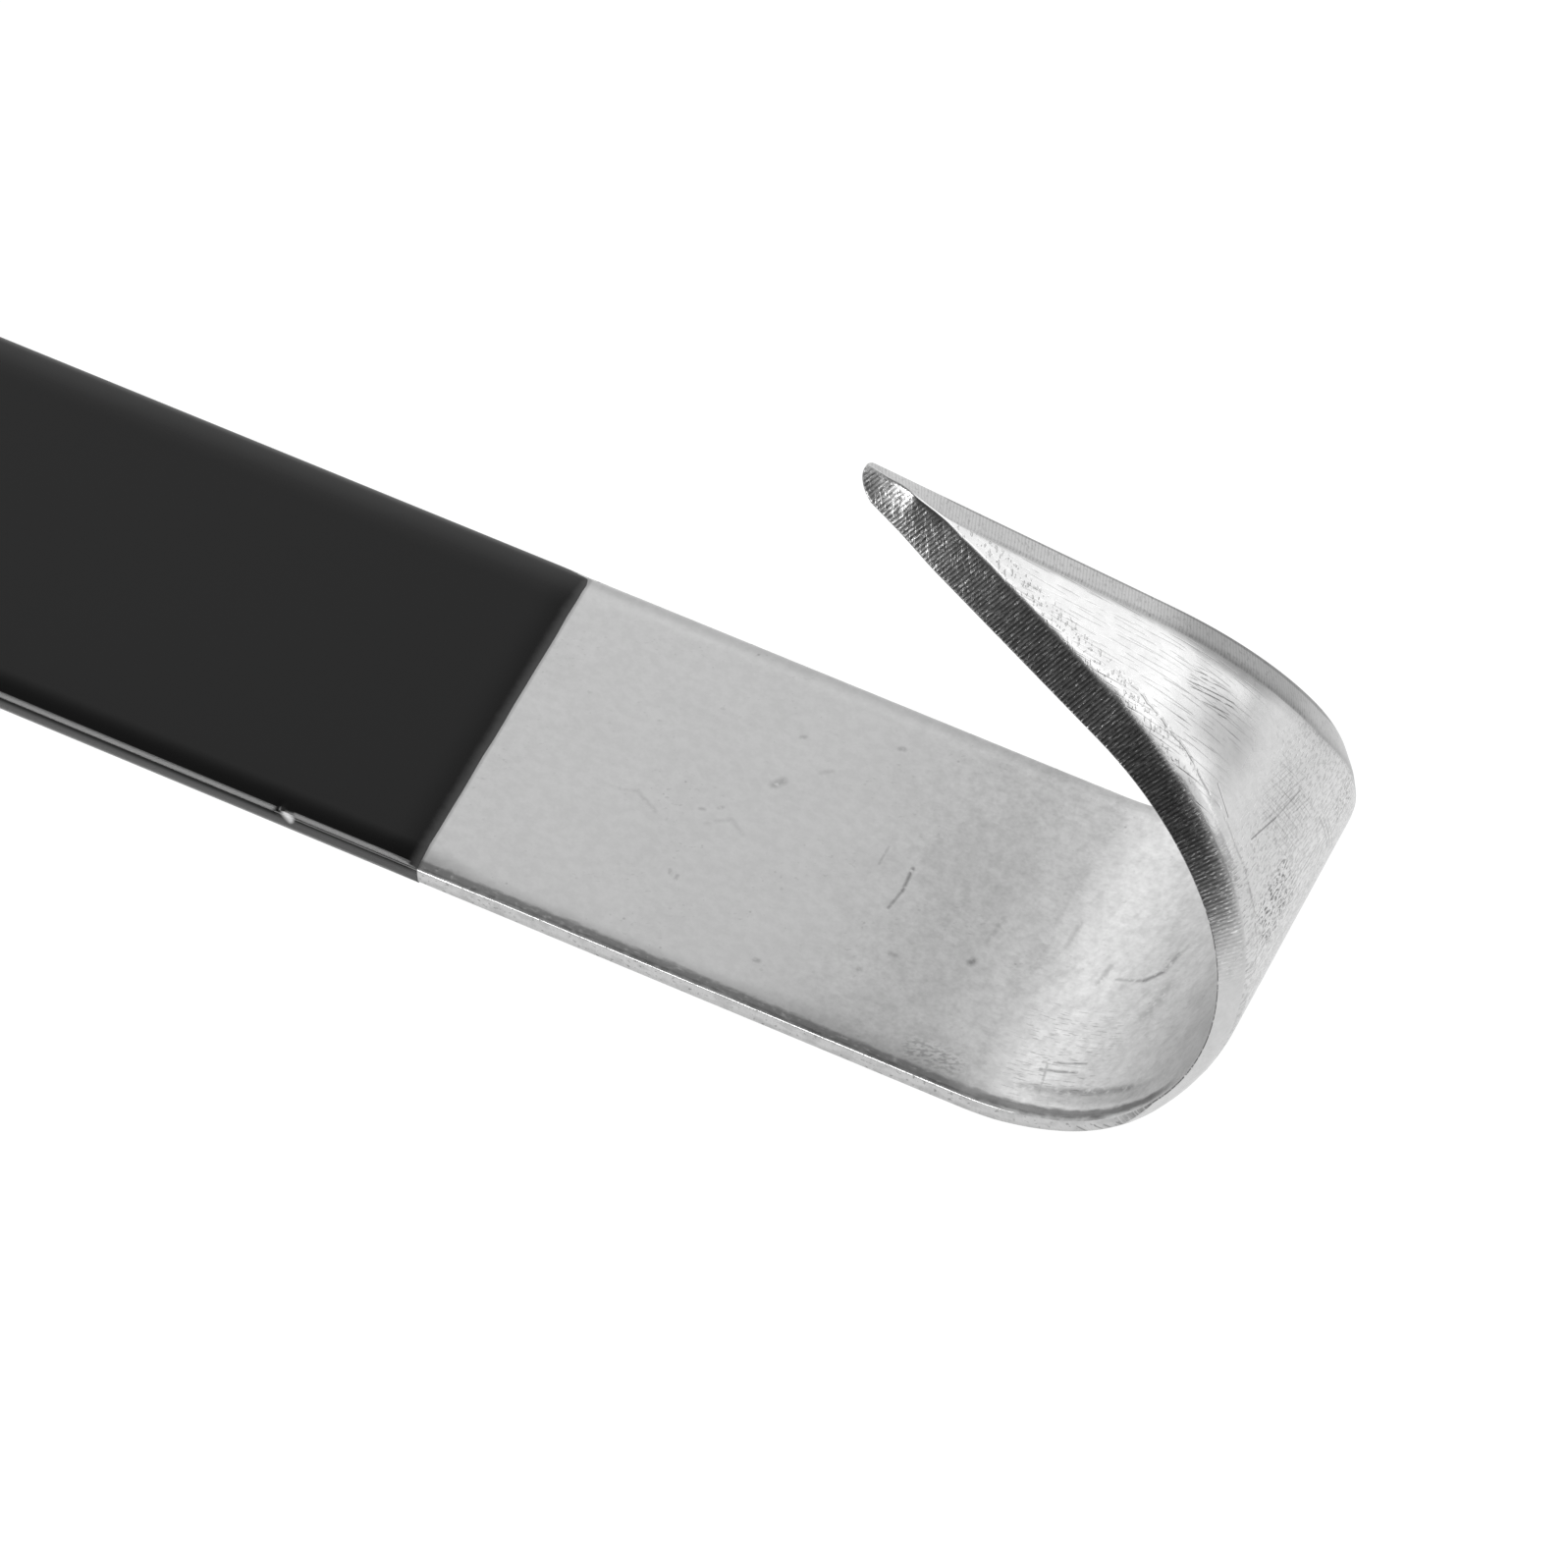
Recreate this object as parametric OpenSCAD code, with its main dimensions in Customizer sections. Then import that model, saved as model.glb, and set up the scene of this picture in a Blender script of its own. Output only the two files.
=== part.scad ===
// Hive tool: a flat stainless steel bar with a sharpened scraper edge at one end,
// a claw that is bent up and back over the bar at the other, and a thin black coat
// round the middle that makes the grip.
//
// Frame: the tool lies on its grip on the plane z = 0. +X runs along the bar from
// the scraper to the claw, +Y across it and +Z up. The origin is under the middle
// of the overall length.

/* [Bar] */
// Overall length, from the scraper edge to the outside of the bend
overall_l = 260; // [220:1:320]
// Width of the bar
bar_w = 35; // [28:0.5:44]
// Thickness of the steel
steel_t = 2; // [1.5:0.1:3]

/* [Scraper] */
// Length of the ground bevel behind the scraper edge
chisel_l = 9; // [4:0.5:16]
// Steel left at the scraper edge
chisel_land = 0.4; // [0.2:0.05:0.8]
// Radius of the two corners of the scraper edge
corner_r = 3; // [1:0.5:8]
// Diameter of the hole for nails and for hanging the tool up
hole_d = 8; // [4:0.5:12]
// Distance from the scraper edge to the centre of the hole
hole_from_edge = 24; // [18:1:40]

/* [Grip] */
// Length of the coated grip
grip_l = 118; // [80:1:130]
// Bare steel between the grip and the start of the bend
grip_to_bend = 50; // [30:0.5:60]
// Thickness of the coat
coat_t = 0.2; // [0.1:0.05:0.8]

/* [Claw] */
// Inside radius of the main bend
bend_r = 19; // [14:0.5:24]
// Angle of the main bend
bend_angle = 125; // [110:1:138]
// Inside radius of the easier bend that follows it
ease_r = 28; // [22:0.5:42]
// Angle of the easier bend
ease_angle = 32; // [10:1:40]
// Straight length from the easier bend to the tip
point_l = 27.5; // [16:0.5:34]
// Length along the bend that keeps the full width of the bar
shoulder_l = 9; // [4:0.5:14]
// Width where the straight point begins
point_w = 15.3; // [12:0.1:20]
// Width of the tip
tip_w = 3.1; // [2:0.1:6]

/* [Ground bevels] */
// Width of the bevel ground along each edge of the claw's outer face
bevel_w = 3.2; // [2:0.1:4]
// Distance along the bend at which the bevels begin
bevel_from = 11; // [6:0.5:14]
// Length over which they grow to their full width
bevel_run = 16; // [10:0.5:24]
// Length over which they cut down through the square side of the steel
side_run = 5; // [3:0.5:10]
// Flat left on the sharpened edge
edge_land = 0.2; // [0.1:0.05:0.5]

/* [Hidden] */

eps = 0.01;                        // overshoot of a cut
bend_step = 4;                     // degrees between sections of a bend
point_steps = 8;                   // sections of the straight point
tip_steps = 4;                     // sections of the rounded tip
ridge_w = 0.3;                     // least width of the flat between the two bevels

bend_len = bend_r * bend_angle * PI / 180;
ease_len = ease_r * ease_angle * PI / 180;
claw_len = bend_len + ease_len + point_l;
bend_steps = ceil(bend_angle / bend_step);
ease_steps = ceil(ease_angle / bend_step);

scraper_x = -overall_l / 2;        // the scraper edge
bend_x = overall_l / 2 - bend_r - steel_t;     // the start of the bend
grip_x = bend_x - grip_to_bend;    // the grip's end towards the claw
hole_x = scraper_x + hole_from_edge;
bar_z = coat_t;                    // underside of the bar
face_z = bar_z + steel_t;          // upper face of the bar, the inside of the bend
grip_r = 2 * coat_t;                // rounding of the coat's long edges

// Distances along the claw's inside face at which it has a section.
tip_r = tip_w / 2;
stations = concat(
    [for (i = [0 : bend_steps - 1]) bend_len * i / bend_steps],
    [for (i = [0 : ease_steps - 1]) bend_len + ease_len * i / ease_steps],
    [for (i = [0 : point_steps]) bend_len + ease_len + (point_l - tip_r) * i / point_steps],
    [for (i = [1 : tip_steps]) claw_len - tip_r * (1 - sin(80 * i / tip_steps))]);

// Direction of the inside face at a distance s along it, in degrees from +X.
function heading(s) =
    s < bend_len ? bend_angle * s / bend_len
    : bend_angle + ease_angle * min(1, (s - bend_len) / ease_len);

// End of an arc of a given radius that turns from one heading to another.
function arc_end(from, r, a, b) = from + r * [sin(b) - sin(a), cos(a) - cos(b)];

// Place [x, z] of the inside face at a distance s along it.
function inside_at(s) =
    let (start = [bend_x, face_z],
         bend_end = arc_end(start, bend_r, 0, bend_angle),
         ease_end = arc_end(bend_end, ease_r, bend_angle, bend_angle + ease_angle),
         a = heading(s))
    s < bend_len ? arc_end(start, bend_r, 0, a)
    : s < bend_len + ease_len ? arc_end(bend_end, ease_r, bend_angle, a)
    : ease_end + (s - bend_len - ease_len) * [cos(a), sin(a)];

// Half the width of the claw's inside face at s: the bar's width as far as the
// shoulder, then one cubic down to the point, then a straight taper and a round tip.
point_slope = (point_w - tip_w) / 2 / point_l;
function shoulder_curve(u, run) =
    bar_w / 2 * (2 * pow(u, 3) - 3 * pow(u, 2) + 1)
    + point_w / 2 * (3 * pow(u, 2) - 2 * pow(u, 3))
    - point_slope * run * (pow(u, 3) - pow(u, 2));
function taper_half(s) =
    let (point_from = claw_len - point_l, run = point_from - shoulder_l)
    s < shoulder_l ? bar_w / 2
    : s < point_from ? shoulder_curve((s - shoulder_l) / run, run)
    : tip_r + point_slope * (claw_len - s);
function inner_half(s) =
    let (into_tip = max(0, s - (claw_len - tip_r)) / tip_r)
    taper_half(s) * sqrt(1 - pow(into_tip, 2));

// The bevels at s: how far they have grown over a run, from 0 to 1, the flat that
// they leave between them, its depth, and the depth of the square side.
function growth(s, run) = max(0, min(1, (s - bevel_from) / run));
function outer_half(s) = max(ridge_w / 2, inner_half(s) - bevel_w * growth(s, bevel_run));
function outer_depth(s) =
    let (room = inner_half(s) - ridge_w / 2, wanted = bevel_w * growth(s, bevel_run))
    wanted <= room ? steel_t : max(edge_land + eps, steel_t * room / wanted);
function side_depth(s) =
    min(outer_depth(s) - eps, steel_t - (steel_t - edge_land) * growth(s, side_run));

// One section of the claw, square to its inside face: the inside face, the
// square side or sharpened edge, and the outer face between the bevels.
function section(s) =
    let (p = inside_at(s), a = heading(s), out = [sin(a), -cos(a)],
         side = p + side_depth(s) * out, top = p + outer_depth(s) * out,
         w = inner_half(s), v = outer_half(s))
    [[p[0], -w, p[1]], [p[0], w, p[1]],
     [side[0], w, side[1]], [top[0], v, top[1]],
     [top[0], -v, top[1]], [side[0], -w, side[1]]];

// Solid through a list of sections that all have the same number of points.
module loft(sections) {
    n = len(sections[0]);
    last = len(sections) - 1;
    polyhedron(
        points = [for (ring = sections, p = ring) p],
        faces = concat(
            [[for (i = [n - 1 : -1 : 0]) i]],
            [for (k = [0 : last - 1], i = [0 : n - 1])
                let (j = (i + 1) % n, a = k * n, b = a + n)
                each [[a + i, a + j, b + j], [a + i, b + j, b + i]]],
            [[for (i = [0 : n - 1]) last * n + i]]));
}

// Plan outline of the bar, with the scraper's two rounded corners.
module bar_outline() {
    translate([scraper_x + corner_r, -bar_w / 2])
        square([bend_x - scraper_x - corner_r, bar_w]);
    translate([scraper_x, -bar_w / 2 + corner_r])
        square([2 * corner_r, bar_w - 2 * corner_r]);
    for (side = [-1, 1])
        translate([scraper_x + corner_r, side * (bar_w / 2 - corner_r)])
            circle(r = corner_r, $fn = 48);
}

// Steel that is ground away above the scraper's bevel.
module chisel_cut() {
    translate([0, bar_w / 2 + 1, 0])
        rotate([90, 0, 0])
            linear_extrude(bar_w + 2)
                polygon([
                    [scraper_x - 1, bar_z + chisel_land - (steel_t - chisel_land) / chisel_l],
                    [scraper_x + chisel_l, face_z],
                    [scraper_x + chisel_l, face_z + 1],
                    [scraper_x - 1, face_z + 1]]);
}

// The whole steel piece: bar, scraper, hole and claw.
module blade() {
    color("#c2c2c2") {
        difference() {
            translate([0, 0, bar_z]) linear_extrude(steel_t) bar_outline();
            chisel_cut();
            translate([hole_x, 0, bar_z - 1]) cylinder(d = hole_d, h = steel_t + 2, $fn = 64);
        }
        loft([for (s = stations) section(s)]);
    }
}

// Section of the grip's outside, round at its long edges.
module grip_outline() {
    w = bar_w + 2 * coat_t;
    h = steel_t + 2 * coat_t;
    translate([-w / 2, grip_r]) square([w, h - 2 * grip_r]);
    translate([-w / 2 + grip_r, 0]) square([w - 2 * grip_r, h]);
    for (y = [-1, 1], z = [grip_r, h - grip_r])
        translate([y * (w / 2 - grip_r), z]) circle(r = grip_r, $fn = 32);
}

// The coat round the middle of the bar.
module grip() {
    color("#262626")
        translate([grip_x - grip_l, 0, 0])
            rotate([90, 0, 90])
                linear_extrude(grip_l)
                    difference() {
                        grip_outline();
                        translate([-bar_w / 2, coat_t]) square([bar_w, steel_t]);
                    }
}

blade();
grip();
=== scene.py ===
"""Looks of a hive tool: a flat stainless bar with a claw bent back over it and a black coated grip.

The blade is drawn as the flat blank that it is cut and ground from. A Geometry Nodes tree then
rolls the blank round its two bends and leaves the straight bar as it is. All sizes are in
millimetres until they become a mesh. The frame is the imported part's own: the tool lies on its
grip on z = 0, +X runs from the scraper to the claw and +Y across.
"""

import logging
import math
from dataclasses import dataclass
from enum import Enum, IntEnum

import bmesh
import bpy
import numpy as np
from mathutils import Matrix, Vector


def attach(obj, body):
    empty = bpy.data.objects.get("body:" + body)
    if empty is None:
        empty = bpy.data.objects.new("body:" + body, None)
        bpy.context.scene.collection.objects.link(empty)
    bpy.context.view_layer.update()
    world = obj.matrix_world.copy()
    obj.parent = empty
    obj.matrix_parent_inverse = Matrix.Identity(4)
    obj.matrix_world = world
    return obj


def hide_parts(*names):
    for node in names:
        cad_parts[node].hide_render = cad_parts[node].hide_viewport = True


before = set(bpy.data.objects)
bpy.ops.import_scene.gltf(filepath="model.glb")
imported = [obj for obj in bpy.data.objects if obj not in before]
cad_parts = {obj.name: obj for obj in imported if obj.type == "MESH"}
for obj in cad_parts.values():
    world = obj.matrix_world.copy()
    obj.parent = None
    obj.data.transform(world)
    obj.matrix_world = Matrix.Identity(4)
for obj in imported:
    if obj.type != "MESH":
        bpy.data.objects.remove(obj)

LOG = logging.getLogger("hive_tool")
MM = 0.001
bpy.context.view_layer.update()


class Finish(IntEnum):
    """Which finish a face of the blade carries."""

    TUMBLED = 0
    SHEARED = 1
    GROUND = 2


class Edge(IntEnum):
    """The blade's two long edges, by the side of the Y axis that they are on."""

    NEAR = -1
    FAR = 1


class BladePin(Enum):
    """Names of the attributes that carry the flat blank's own coordinates and finishes."""

    BLANK = "blank_mm"
    RIDGES = "ridges_mm"
    FINISH = "finish"


def linear(code: str) -> tuple[float, float, float, float]:
    """Turns an sRGB hex colour into linear values.

    Args:
        code: A colour such as "#c4c4c2".

    Returns:
        Linear red, green, blue and an alpha of 1.
    """
    parts = [int(code[i : i + 2], 16) / 255 for i in (1, 3, 5)]
    r, g, b = (p / 12.92 if p <= 0.04045 else ((p + 0.055) / 1.055) ** 2.4 for p in parts)
    return r, g, b, 1.0


def add(tree: bpy.types.NodeTree, kind: str, inputs: dict | None = None, **settings) -> bpy.types.Node:
    """Adds one node with its settings and links.

    Args:
        tree: The node tree that gets the node.
        kind: The node's type.
        inputs: Sockets by name or number, each with a value, a socket or a node to link from.
        **settings: Properties of the node.

    Returns:
        The new node.
    """
    node = tree.nodes.new(kind)
    for name, value in settings.items():
        setattr(node, name, value)
    for key, value in (inputs or {}).items():
        if isinstance(value, bpy.types.Node):
            value = value.outputs[0]
        if isinstance(value, bpy.types.NodeSocket):
            tree.links.new(value, node.inputs[key])
        else:
            node.inputs[key].default_value = value
    return node


def ramp(node: bpy.types.Node, stops: list[tuple[float, float]]) -> bpy.types.Node:
    """Sets a colour ramp's stops to greys.

    Args:
        node: A ColorRamp node.
        stops: Positions with a grey level each.

    Returns:
        The same node.
    """
    elements = node.color_ramp.elements
    while len(elements) > 1:
        elements.remove(elements[-1])
    for i, (place, grey) in enumerate(stops):
        element = elements[0] if i == 0 else elements.new(place)
        element.position = place
        element.color = (grey, grey, grey, 1)
    return node


def smooth(x: np.ndarray | float, start: float, end: float) -> np.ndarray:
    """Smooth step from 0 at start to 1 at end."""
    t = np.clip((np.asarray(x, float) - start) / (end - start), 0, 1)
    return t * t * (3 - 2 * t)


def through(x: np.ndarray, *points: tuple[float, float]) -> np.ndarray:
    """Value at each x on straight lines between points (x, value), level past the first and last."""
    return np.interp(x, [p[0] for p in points], [p[1] for p in points])


def fillet(
    a: np.ndarray, b: np.ndarray, c: np.ndarray, cut_a: np.ndarray, cut_c: np.ndarray, steps: int
) -> list[np.ndarray]:
    """Rounds the corner b of the line a, b, c.

    Args:
        a: Points before the corner, one row for each section.
        b: Corner points.
        c: Points after the corner.
        cut_a: How far the rounding reaches back towards a.
        cut_c: How far it reaches on towards c.
        steps: How many pieces the rounding has.

    Returns:
        steps + 1 arrays of points, from the side of a to the side of c.
    """
    ba, bc = a - b, c - b
    la = np.maximum(np.linalg.norm(ba, axis=1, keepdims=True), 1e-9)
    lc = np.maximum(np.linalg.norm(bc, axis=1, keepdims=True), 1e-9)
    p = b + ba / la * np.minimum(cut_a[:, None], 0.45 * la)
    r = b + bc / lc * np.minimum(cut_c[:, None], 0.45 * lc)
    return [(1 - t) ** 2 * p + 2 * t * (1 - t) * b + t * t * r for t in np.linspace(0, 1, steps + 1)]


def toward(azimuth: float, elevation: float) -> tuple[float, float, float]:
    """Direction of length 1, from degrees round from +X towards +Y and degrees above the horizon."""
    a, e = math.radians(azimuth), math.radians(elevation)
    return math.cos(e) * math.cos(a), math.cos(e) * math.sin(a), math.sin(e)


def put(name: str, data: bpy.types.ID) -> bpy.types.Object:
    """Adds an object to the scene.

    Args:
        name: The object's name.
        data: Its mesh, light or camera.

    Returns:
        The object, at the origin.
    """
    made = bpy.data.objects.new(name, data)
    bpy.context.scene.collection.objects.link(made)
    return made


def face_outward(data: bpy.types.Mesh) -> None:
    """Turns round the faces of a closed mesh that is inside out."""
    solid = bmesh.new()
    solid.from_mesh(data)
    if solid.calc_volume(signed=True) < 0:
        bmesh.ops.reverse_faces(solid, faces=solid.faces[:])
    solid.to_mesh(data)
    solid.free()


# How a point of the flat blank goes round the bends. Each row is a name, an operation and its
# terms: numbers, sizes of the tree, places on the blank or the names of earlier rows.
BEND_SUMS = (
    ("s", "SUBTRACT", "flat x", "Bend start"),
    ("depth", "SUBTRACT", "Face height", "flat z"),
    ("bend length", "MULTIPLY", "Bend radius", "Bend angle"),
    ("ease length", "MULTIPLY", "Ease radius", "Ease angle"),
    ("on bar", "MINIMUM", "s", 0.0),
    ("past bar", "MAXIMUM", "s", 0.0),
    ("in bend", "MINIMUM", "past bar", "bend length"),
    ("past bend", "SUBTRACT", "past bar", "in bend"),
    ("in ease", "MINIMUM", "past bend", "ease length"),
    ("on point", "SUBTRACT", "past bend", "in ease"),
    ("turn", "DIVIDE", "in bend", "Bend radius"),
    ("further turn", "DIVIDE", "in ease", "Ease radius"),
    ("heading", "ADD", "turn", "further turn"),
    ("turn sine", "SINE", "turn"),
    ("turn cosine", "COSINE", "turn"),
    ("heading sine", "SINE", "heading"),
    ("heading cosine", "COSINE", "heading"),
    # Along X: bar, bend, ease, point and depth. The two sines differ only past the bend.
    ("bend x", "MULTIPLY_ADD", "turn sine", "Bend radius", "on bar"),
    ("ease run", "SUBTRACT", "heading sine", "turn sine"),
    ("ease x", "MULTIPLY_ADD", "ease run", "Ease radius", "bend x"),
    ("point x", "MULTIPLY_ADD", "on point", "heading cosine", "ease x"),
    ("whole x", "MULTIPLY_ADD", "depth", "heading sine", "point x"),
    ("x", "ADD", "whole x", "Bend start"),
    # Up Z, by the same steps.
    ("bend rise", "SUBTRACT", 1.0, "turn cosine"),
    ("bend z", "MULTIPLY_ADD", "bend rise", "Bend radius", "Face height"),
    ("ease rise", "SUBTRACT", "turn cosine", "heading cosine"),
    ("ease z", "MULTIPLY_ADD", "ease rise", "Ease radius", "bend z"),
    ("point z", "MULTIPLY_ADD", "on point", "heading sine", "ease z"),
    ("depth z", "MULTIPLY", "depth", "heading cosine"),
    ("z", "SUBTRACT", "point z", "depth z"),
)


@dataclass
class SteelBlade:
    """The stainless blade: bar, scraper edge, hole and claw, from one flat blank."""

    overall_l: float = 260.0
    bar_w: float = 35.0
    steel_t: float = 2.0
    coat_t: float = 0.2
    chisel_l: float = 9.0
    chisel_land: float = 0.4
    corner_r: float = 3.0
    hole_d: float = 8.0
    hole_from_edge: float = 24.0
    hole_rim: float = 0.25
    bend_r: float = 19.0
    bend_angle: float = 125.0
    ease_r: float = 28.0
    ease_angle: float = 32.0
    point_l: float = 27.5
    shoulder_l: float = 9.0
    point_w: float = 15.3
    tip_w: float = 3.1
    bevel_w: float = 3.2
    edge_land: float = 0.2
    die_roll_w: float = 2.2
    die_roll_drop: float = 0.2
    coat_roll_w: float = 3.0
    coat_roll_drop: float = 0.4
    grip_to_bend: float = 50.0
    bend_roll_w: float = 1.1
    bend_roll_drop: float = 0.16
    far_roll_drop: float = 0.1
    edge_round: float = 0.17
    soft_edge_round: float = 0.55
    pull_w: float = 1.1
    pull_drop: float = 0.04
    crease: float = 0.05
    arris: float = 0.26
    ridge_w: float = 0.2
    ridge_end: float = 80.0
    bend_thinning: float = 0.37
    tip_t: float = 0.28
    window: int = 8
    tip_run: float = 4.5
    nose_run: float = 4.6
    nose_half: float = 3.15
    nose_cut: float = 0.7
    ripple: float = 0.08
    coarse_step: float = 6.0
    bar_step: float = 0.5
    claw_step: float = 0.36
    fine_from: float = -86.0
    tip_corner_r: float = 0.5
    sharp_above: float = 38.0
    roll_share: float = 0.62

    def __post_init__(self) -> None:
        """Works out the sizes that follow from the others."""
        self.bend_x = self.overall_l / 2 - self.bend_r - self.steel_t
        self.face_z = self.coat_t + self.steel_t
        self.bend_len = self.bend_r * math.radians(self.bend_angle)
        self.ease_len = self.ease_r * math.radians(self.ease_angle)
        self.claw_len = self.bend_len + self.ease_len + self.point_l
        self.scraper_s = -self.overall_l / 2 - self.bend_x
        self.hole_s = self.scraper_s + self.hole_from_edge

    def stations(self) -> np.ndarray:
        """Distances along the blank at which it has a section, from the scraper to the tip."""
        corner = self.scraper_s + self.corner_r * (1 - np.cos(np.linspace(0, math.pi / 2, 9)))
        chisel = np.linspace(self.scraper_s + self.corner_r, self.scraper_s + self.chisel_l, 5)[1:]
        behind = chisel[-1] + np.array([0.3, 1.2, 4.0])
        hole = self.hole_s + np.arange(-self.window, self.window + 1.0)
        coarse = np.arange(hole[-1] + self.coarse_step, self.fine_from - 2, self.coarse_step)
        bar = np.arange(self.fine_from, 0, self.bar_step)
        tip = self.claw_len - self.tip_run
        claw = np.linspace(0, tip, round(tip / self.claw_step))
        end = self.claw_len - self.tip_run * (1 - np.sin(np.linspace(0, math.pi / 2, 26)[1:]))
        return np.concatenate([corner, chisel, behind, hole, coarse, bar, claw, end])

    def outline(self, s: np.ndarray, edge: Edge) -> np.ndarray:
        """Distance of one long edge from the middle line, at each s."""
        run = self.claw_len - self.point_l - self.shoulder_l
        slope = (self.point_w - self.tip_w) / 2 / self.point_l
        u = np.clip((s - self.shoulder_l) / run, 0, 1)
        curve = (
            self.bar_w / 2 * (2 * u**3 - 3 * u**2 + 1)
            + self.point_w / 2 * (3 * u**2 - 2 * u**3)
            - slope * run * (u**3 - u**2)
        )
        half = np.where(s < self.claw_len - self.point_l, curve, self.tip_w / 2 + slope * (self.claw_len - s))
        into = np.clip(self.corner_r - (s - self.scraper_s), 0, self.corner_r)
        half = half - (self.corner_r - np.sqrt(self.corner_r**2 - into**2))
        if edge is Edge.NEAR:
            half = half + 0.1 * smooth(s, 40, 55) - 0.22 * smooth(s, 75, 80)
            nose = np.clip((s - (self.claw_len - self.nose_run)) / self.nose_run, 0, 1)
            rounded = self.nose_half * np.sqrt(1 - nose**2) - self.nose_cut
            return np.where(nose > 0, np.minimum(half, rounded), half)
        radius = self.tip_corner_r
        corner = np.clip((s - (self.claw_len - radius)) / radius, 0, 1)
        return half - 0.1 * smooth(s, 20, 32) - radius * (1 - np.sqrt(1 - corner**2))

    def bevel(self, s: np.ndarray, edge: Edge) -> tuple[np.ndarray, np.ndarray, np.ndarray]:
        """Width of the ground bevel, depth of the square side and softness of the ridge at each s."""
        deep = self.steel_t - self.arris
        if edge is Edge.NEAR:
            width = through(
                s,
                (3, self.arris),
                (12, 0.7),
                (17, 1.0),
                (22, 1.7),
                (28, 2.0),
                (36, 2.45),
                (45, 2.7),
                (58, 3.2),
                (73, 3.1),
                (77, 2.95),
                (80, 2.33),
            )
            side = through(s, (3, deep), (11, 1.3), (15, 1.06), (19, self.edge_land))
            soft = through(s, (3, 0.3), (18, 1.0), (34, 1.7), (50, 1.6), (60, 0.8), (68, 0.35), (78, 0.15))
        else:
            width = through(
                s,
                (14, self.arris),
                (24, 1.6),
                (28, 1.6),
                (31, 2.3),
                (34, 2.5),
                (40, 3.45),
                (58, self.bevel_w),
                (75, self.bevel_w),
                (77, 3.15),
                (80, 2.5),
            )
            side = through(s, (16, deep), (30, self.edge_land))
            soft = through(s, (13, 0.3), (30, 1.8), (50, 1.5), (62, 0.8), (76, 0.3))
        return width, side, soft

    def rolled_edge(
        self, s: np.ndarray, edge: Edge, room: np.ndarray
    ) -> tuple[np.ndarray, np.ndarray]:
        """Shape of the inside face's rolled edge, which the blanking die left.

        Args:
            s: Stations.
            edge: Which long edge it runs along.
            room: Half the blade's width at each station.

        Returns:
            How wide the rolled strip is and how far it drops, at each station.
        """
        in_bend = smooth(s, -3, 9)
        coated = 1 - smooth(s, -self.grip_to_bend + 0.5, -self.grip_to_bend + 9)
        wider_in_bend = (self.bend_roll_w - self.die_roll_w) * in_bend
        wider_under_coat = (self.coat_roll_w - self.die_roll_w) * coated
        pulled = (smooth(s, -26, -10) - smooth(s, -4, 3)) * (edge is Edge.NEAR)
        width = self.die_roll_w + wider_in_bend + wider_under_coat
        width = np.minimum(width + self.pull_w * pulled, self.roll_share * room)
        drop = self.die_roll_drop + (self.bend_roll_drop - self.die_roll_drop) * in_bend
        drop = drop + (self.coat_roll_drop - self.die_roll_drop) * coated + self.pull_drop * pulled
        return width, np.where(edge is Edge.NEAR, drop, self.far_roll_drop)

    def half_section(
        self, s: np.ndarray, edge: Edge, ridges: dict, mid: np.ndarray, grind: np.ndarray
    ) -> tuple[np.ndarray, dict]:
        """Points of one half of every section, from the inside face's middle round to the outside's.

        Args:
            s: Stations.
            edge: Which long edge the half ends at.
            ridges: Signed places of both ridges, by edge.
            mid: Signed place of the line that the halves share.
            grind: Depth that the scraper's bevel takes off the inside face.

        Returns:
            The points (station, point, (y, depth)), and the index of the first point of the side's
            top corner and of its foot.
        """
        n, side = len(s), int(edge)
        reach = side * self.outline(s, edge)
        _, side_depth, soft = self.bevel(s, edge)
        left = np.clip((self.steel_t - grind) / 1.6, 0.12, 1)
        far_edge = -side * self.outline(s, Edge(-side))
        room = np.abs(reach - far_edge) / 2
        top_depth = ridges["depth"][edge]
        roll_w, full = self.rolled_edge(s, edge, room)
        drop = full * left * np.minimum(1, roll_w / self.bend_roll_w)
        crease = self.crease * (smooth(s, -1, 5) - smooth(s, 34, 48)) * (edge is Edge.NEAR)
        sharper = smooth(s, 12, 20)
        softer = (self.soft_edge_round - self.edge_round) * (1 - sharper) * (edge is Edge.NEAR)
        rounding = self.edge_round + softer
        side_depth = np.minimum(side_depth, top_depth - 0.02)
        side_depth = self.steel_t - (self.steel_t - side_depth) * np.where(grind > 0, left, 1)
        drop = np.minimum(drop, 0.5 * (side_depth - grind))
        inner = np.stack([reach, grind + drop], 1)
        low = np.stack([reach, side_depth], 1)
        ridge = np.stack([ridges[edge], top_depth], 1)
        centre_out = np.stack([mid, (ridges["depth"][Edge.NEAR] + ridges["depth"][Edge.FAR]) / 2], 1)

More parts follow.
